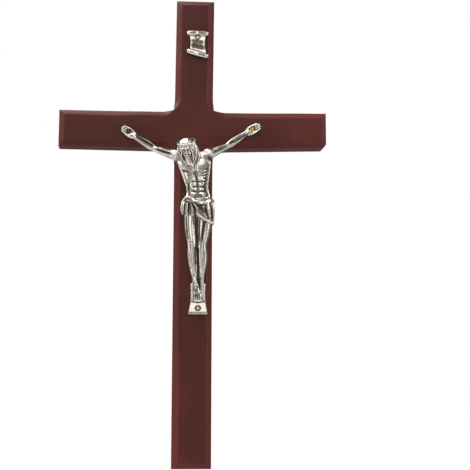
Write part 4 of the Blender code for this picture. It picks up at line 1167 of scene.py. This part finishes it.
def crownPiece():
    recipe = Recipe("Crown of thorns", crownLook, silver)
    width, depth, twist = recipe["Ring width"], recipe["Ring depth"], recipe["Twist"]
    twigs = []
    for phase in crownPlace["phases"]:
        turn = recipe.node("GeometryNodeInputIndex") * (math.tau / crownPlace["points"])
        roll = turn * recipe["Turns"] + phase
        out = roll.mathed("COSINE") * twist
        place = recipe.vector(
            X=turn.mathed("SINE") * (width + out),
            Y=turn.mathed("COSINE") * (depth + out) * -1,
            Z=roll.mathed("SINE") * twist + (turn * 5 + phase).mathed("SINE") * 0.12)
        ring = recipe.moved(recipe.circle(crownPlace["points"]), Position=place)
        profile = recipe.circle(8, recipe["Twig"])
        twigs.append(recipe.node("GeometryNodeCurveToMesh", values={0: ring, 1: profile}))
    points = recipe.node("GeometryNodeCurveToPoints", {"mode": "COUNT"}, {
        0: recipe.circle(96), "Count": recipe["Thorns"]})
    spot = recipe.node("GeometryNodeInputPosition")
    oval = recipe.vectorMath("MULTIPLY", spot, recipe.vector(X=width, Y=depth, Z=0))
    points = recipe.moved(points, Position=oval)
    stray = recipe.node("FunctionNodeRandomValue", {"data_type": "FLOAT_VECTOR"}, {
        0: (-0.9, -0.9, -0.5), 1: (0.9, 0.9, 1.1), "Seed": recipe["Seed"]})
    lean = recipe.vectorMath("ADD", recipe.vectorMath("NORMALIZE", spot), stray)
    thorn = recipe.node("GeometryNodeMeshCone", values={
        "Vertices": 8, "Radius Top": 0.02, "Radius Bottom": 0.15, "Depth": recipe["Thorn length"]})
    thorns = recipe.node("GeometryNodeInstanceOnPoints", values={
        "Points": points, "Instance": thorn, "Rotation": recipe.node(
            "FunctionNodeAlignRotationToVector", {"axis": "Z"}, {"Vector": lean})})
    whole = recipe.node("GeometryNodeJoinGeometry", values={0: twigs + [thorns]})
    piece = recipe.made("crownOfThorns", whole, bpy.data.meshes.new("crownStart"))
    mesh = piece.data
    places = np.empty(len(mesh.vertices) * 3, np.float32)
    mesh.vertices.foreach_get("co", places)
    places = places.reshape(-1, 3) * (1, -1, 1)
    tipped = aboutX(crownPlace["tip"])
    places = (places @ tipped.T + crownPlace["centre"]) @ headFrame.T + headLook["place"]
    mesh.vertices.foreach_set("co", toScene(places, figurePlace).ravel().astype(np.float32))
    # The crown's finish is darker towards the inside of its ring and lighter out along the thorns.
    outward = np.linalg.norm(places - np.mean(places, 0), axis=1)
    markHollows(mesh, [np.clip(0.25 - 0.5 * (outward - 4.5), 0, 0.6)] * 2)
    bm = bmesh.new()
    bm.from_mesh(mesh)
    bmesh.ops.remove_doubles(bm, verts=bm.verts, dist=1e-7)
    bmesh.ops.recalc_face_normals(bm, faces=bm.faces)
    bm.to_mesh(mesh)
    bm.free()
    return piece


crown = crownPiece()

# Brass pins: one domed head and shank, set on the four places of the solids' pins
pinLook = {"Head radius": 1.15, "Head rise": 0.62, "Shank radius": 0.6, "Shank length": 5.4}
pinNodes = ("pin_right_palm", "pin_left_palm", "pin_feet", "pin_scroll")


def pinPiece():
    recipe = Recipe("Brass pins", {key: value * mm for key, value in pinLook.items()}, brass)
    starts = bpy.data.meshes.new("pinPlaces")
    boxes = [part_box(name) for name in pinNodes]
    rise = pinLook["Head rise"] * mm
    starts.from_pydata([((low.x + high.x) / 2, low.y + rise, (low.z + high.z) / 2)
                        for low, high in boxes], [], [])
    ball = recipe.node("GeometryNodeMeshUVSphere", values={
        "Segments": 40, "Rings": 20, "Radius": recipe["Head radius"]})
    flat = recipe["Head rise"] / recipe["Head radius"]
    flattened = recipe.node("GeometryNodeTransform", values={
        0: ball, "Scale": recipe.vector(X=1, Y=flat, Z=1)})
    spot = recipe.node("GeometryNodeInputPosition")
    depth = recipe.node("ShaderNodeSeparateXYZ", values={0: spot}, output=1)
    behind = recipe.node("FunctionNodeCompare", {"operation": "GREATER_THAN"}, {0: depth, 1: 0})
    domed = recipe.moved(flattened, Selection=behind, Offset=recipe.vector(Y=depth * -0.75))
    rod = recipe.node("GeometryNodeMeshCylinder", values={
        "Vertices": 24, "Radius": recipe["Shank radius"], "Depth": recipe["Shank length"]})
    shank = recipe.node("GeometryNodeTransform", values={
        0: rod, "Rotation": (math.pi / 2, 0, 0),
        "Translation": recipe.vector(Y=recipe["Shank length"] * 0.5)})
    pin = recipe.node("GeometryNodeJoinGeometry", values={0: [domed, shank]})
    pins = recipe.node("GeometryNodeInstanceOnPoints", values={
        "Points": recipe["Geometry"], "Instance": pin})
    return recipe.made("brassPins", pins, starts)


pins = pinPiece()
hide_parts(*pinNodes)
print("crown and pins made")


# Open hands, palms forward, with the fingers side by side
handLook = {"step": 0.16, "margin": 4.2, "back": -0.8, "front": 5.2, "palmHole": 1.35}


def modelHand(clay, joints):
    wrist, tip, side, curl = (joints[name] for name in ("wrist", "tip", "side", "curl"))
    run = np.subtract(tip, wrist)
    length = math.hypot(run[0], run[2])
    along = np.array([run[0], run[2]]) / length
    up = np.array([-along[1], along[0]]) * side

    def spot(s, across):
        return (wrist[0] + along[0] * s * length + up[0] * across,
                wrist[2] + along[1] * s * length + up[1] * across)

    def row(s, across, out, *size):
        x, z = spot(s, across)
        return (x, out, z, *size)

    clay.tube([row(-0.3, 0, 1.5, 1, 0.8), row(-0.06, 0, 1.5, 1.33, 1.09),
               row(0.2, 0, 1.2, 1.9, 1.05), row(0.38, 0, 1, 2.35, 0.95),
               row(0.56, 0, 0.95, 2.25, 0.85)], 0.2)
    # Rims of the palm: the base of the thumb above, the edge of the hand below
    clay.tube([row(-0.02, 0.95, 1.6, 0.45), row(0.22, 1.75, 1.7, 0.55), row(0.48, 2, 1.75, 0.5),
               row(0.72, 1.75, 1.7, 0.42), row(0.88, 1.35, 1.75, 0.36)], 0.2)
    clay.tube([row(-0.02, -0.85, 1.5, 0.42), row(0.22, -1.6, 1.5, 0.5), row(0.5, -1.85, 1.5, 0.5),
               row(0.62, -1.75, 1.5, 0.42)], 0.2)
    for k, reach in enumerate((0.9, 1, 0.99, 0.9)):
        across = 1.5 - k
        clay.tube([row(0.5, across, 1.1, 0.56), row(0.68, across * 1.04, 1.4 + curl * 0.2, 0.56),
                   row(0.85 * reach / 0.95, across * 0.96, 1.45 + curl * 0.55, 0.52),
                   row(reach - 0.07, across * 0.84, 1.35 + curl * 0.5, 0.46)], 0.12)
    for k in range(3):
        across = k - 1
        clay.tube([row(0.52, across, 1.75, 0.14), row(0.7, across * 1.02, 1.95 + curl * 0.2, 0.2),
                   row(0.86, across * 0.94, 2 + curl * 0.5, 0.14)], 0.1, carve=True)
    clay.onSkinBall(*spot(0.4, 0.1), (1.6, 0.5, 1.6), 0.15, 0.3, carve=True)
    clay.drill(*joints["hole"], handLook["palmHole"], 0.3, low=-0.6)


hands = []
for name, joints in arms.items():
    xs, _, zs = zip(joints["wrist"], joints["tip"])
    margin = handLook["margin"]
    look = {"low": (min(xs) - margin, handLook["back"], min(zs) - margin),
            "high": (max(xs) + margin, handLook["front"], max(zs) + margin),
            "step": handLook["step"]}
    hands.append(castPiece(name + "Hand", look, (lambda clay: modelHand(clay, joints),), silver))
print("figure modelled")


# Title scroll: a waisted sheet between two rolls, with rows of strokes that spell nothing
scrollLook = {
    "low": (-4.6, -0.6, 38.4), "high": (8, 3.4, 56.4), "step": 0.12,
    "middle": 1.7, "centre": 47.5, "height": 14.6, "width": 10.2, "waist": 7.6, "sheet": 0.9,
    "rollHeight": 3.3, "rollDepth": 2.3, "slant": 2.4, "edge": 0.2, "pinHole": 1.4,
    "strokeRows": (0.95, -1.15), "strokes": 6, "strokeSize": 0.75, "lines": (2, -0.4, -2.35),
    "patinaAndPaintedShade": (
        (-0.6, 49, 3.8, 48.2, 1.4, 0.6), (-0.6, 46.4, 4.2, 45.2, 1.5, 0.72),
        (-2.2, 53.4, 0.2, 53.3, 0.7, 0.55), (2.6, 53.3, 5.4, 53.1, 0.7, 0.55),
        (-2, 42.6, -0.6, 42, 0.5, 0.4), (2.6, 41.4, 5.2, 40.6, 0.7, 0.5),
    ),
}


def modelScroll(clay):
    look = scrollLook
    middle, centre, width = look["middle"], look["centre"], look["width"]
    top = centre + look["height"] / 2 - look["rollHeight"] / 2
    foot = centre - look["height"] / 2 + look["rollHeight"] / 2
    x, z = clay.axes[0][:, None, None], clay.axes[2][None, None, :]
    share = np.clip((z - foot) / (top - foot), 0, 1)
    lean = (x - middle) * look["slant"] / width * (1 - share) ** 2
    bulge = (2 * share - 1) ** 2
    half = (look["waist"] + (width * 0.94 - look["waist"]) * bulge) / 2
    ends = np.maximum(z - top, foot - z - lean)
    clay.slab(np.maximum(np.abs(x - middle) - half, ends),
              look["sheet"] + look["rollDepth"] * 0.22 * bulge, look["edge"])
    wide, radius, deep = width / 2, look["rollHeight"] / 2 - 0.05, look["rollDepth"] / 2
    for level, tilt, way in ((top, 0, -1), (foot, look["slant"] / 2, 1)):
        left, right = (middle - wide + 0.5, level + tilt), (middle + wide - 0.5, level - tilt)
        rows = []
        for k, size, depth in ((0, 0.8, 0.8), (1, 0.9, 0.95), (3, 0.9, 0.95), (4, 0.8, 0.8)):
            spot = [(a * (4 - k) + b * k) / 4 for a, b in zip(left, right)]
            rows.append((spot[0], deep, spot[1], radius * size, deep * depth))
        clay.tube(rows, 0.25)
        # Spiral of the roll at each end, and the fold of the sheet along it
        for end, outward in ((left, -1), (right, 1)):
            clay.tube([(end[0] + outward * 0.9, deep + 0.1, end[1] + 0.1, 0.34),
                       (end[0] + outward * 0.3, deep + 0.1, end[1] + 0.1, 0.3)], 0.1, carve=True)
        clay.groove([(left[0] + 0.2, left[1] + way * 0.95, 0.13),
                     (right[0] - 0.2, right[1] + way * 0.95, 0.13)], 0.03, 0.1, steps=16)
    for row, level in enumerate(look["strokeRows"]):
        for k in range(look["strokes"]):
            x = middle - 2.4 + 0.95 * k + 0.1 * math.sin(3 * k + row)
            z = centre + level - 0.3
            tall = look["strokeSize"] * (0.5 if (2 * k + row) % 3 else 0.36)
            clay.groove([(x - 0.16, z - tall, 0.13), (x + 0.16, z + tall, 0.13)], 0.03, 0.06)
    for level in look["lines"]:
        clay.groove([(middle - 2.9, centre + level - 0.2, 0.09),
                     (middle + 2.9, centre + level - 0.4, 0.09)], 0, 0.05, steps=12)
    pin = centre + look["height"] / 2 - look["rollHeight"] * 1.15
    clay.drill(middle, pin, look["pinHole"], 0.2)


scrollPiece = castPiece("castScroll", scrollLook, (modelScroll,), plateSilver,
                        {"side": 0, "rise": 0})
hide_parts("title_scroll")
print("scroll modelled")
for piece in [bodyPiece, feetPiece, clothPiece, platePiece, headPiece, crown, scrollPiece,
              *hands]:
    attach(piece, "root")
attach(pins, "root")
for piece in (upright, crossbar):
    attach(piece, "root")


# Floor, light and camera
studio = {
    "floorDrop": 0.25, "floorReach": 0.9, "around": 0.17,
    "cameraPlace": (-0.015712, -0.543108, -0.140698),
    "cameraLook": (0.06991, 0.98539, 0.15532),
    "cameraUp": (-0.01222, -0.15484, 0.98786),
    "lens": 78.69,
    # place, aim, size across, size up, radiance, colour
    "lamps": (
        ((0, -1.10, 0.24), (0, 0, -0.03), 0.64, 0.76, 1.3, (1, 0.985, 0.96)),
        ((-0.2, -0.75, 0.85), (0, 0, -0.05), 0.9, 0.5, 2.2, (1, 0.985, 0.96)),
        ((0, -1, -0.42), (0, 0, -0.05), 0.7, 0.4, 0.5, (1, 0.985, 0.97)),
        ((-1.05, -0.28, 0), (0, 0, -0.05), 0.3, 1, 2.4, (1, 0.98, 0.95)),
        ((1, -0.32, 0), (0, 0, -0.05), 0.22, 0.9, 2.8, (1, 0.985, 0.97)),
        ((-0.5, 0.08, 0.85), (0, 0, 0), 1, 1, 4.4, (1, 1, 1)),
        ((-0.95, -0.2, 0.62), (0, 0, 0), 0.5, 0.4, 2, (1, 0.99, 0.97)),
        ((0.9, -0.42, 0.55), (0, 0, 0), 0.6, 0.5, 3.2, (1, 0.98, 0.96)),
    ),
}


def studioFloor():
    bm = bmesh.new()
    level = cadBounds[0][2] - studio["floorDrop"]
    bmesh.ops.create_circle(bm, cap_ends=True, segments=96, radius=studio["floorReach"],
                            matrix=Matrix.Translation((0, 0, level)))
    pale = Finish("pale floor")
    paleLook = pale.surface(colour=(0.8, 0.8, 0.79, 1), roughness=0.8)
    linked("studioFloor", meshFrom(bm, "studioFloor"), paleLook)


def studioLamps():
    for k, (place, aim, across, up, radiance, colour) in enumerate(studio["lamps"]):
        light = bpy.data.lights.new("softbox" + str(k), "AREA")
        light.shape = "RECTANGLE"
        light.size, light.size_y = across, up
        light.energy, light.color = radiance * math.pi * across * up, colour
        lamp = bpy.data.objects.new("softbox" + str(k), light)
        lamp.location = place
        lamp.rotation_euler = (Vector(aim) - Vector(place)).to_track_quat("-Z", "Y").to_euler()
        bpy.context.scene.collection.objects.link(lamp)


# Plain white behind the cross, and a dimmer grey room for what its surfaces mirror
def studioWorld():
    world = bpy.data.worlds.new("studio")
    bpy.context.scene.world = world
    world.use_nodes = True
    tree = world.node_tree
    rays = Wire(tree, tree.nodes.new("ShaderNodeLightPath").outputs["Is Camera Ray"])
    strength = rays * (1 - studio["around"]) + studio["around"]
    tree.links.new(strength.socket, tree.nodes["Background"].inputs["Strength"])
    tree.nodes["Background"].inputs["Color"].default_value = (1, 1, 1, 1)


def studioCamera():
    camera = bpy.data.cameras.new("camera")
    camera.sensor_width, camera.lens = 36, studio["lens"]
    camera.clip_start = 0.01
    look = Vector(studio["cameraLook"]).normalized()
    right = look.cross(Vector(studio["cameraUp"])).normalized()
    stand = Matrix((right, right.cross(look), -look)).transposed().to_4x4()
    stand.translation = studio["cameraPlace"]
    made = bpy.data.objects.new("camera", camera)
    made.matrix_world = stand
    bpy.context.scene.collection.objects.link(made)
    bpy.context.scene.camera = made


studioFloor()
studioLamps()
studioWorld()
studioCamera()
bpy.context.scene.view_settings.view_transform = "Standard"
print("studio set")
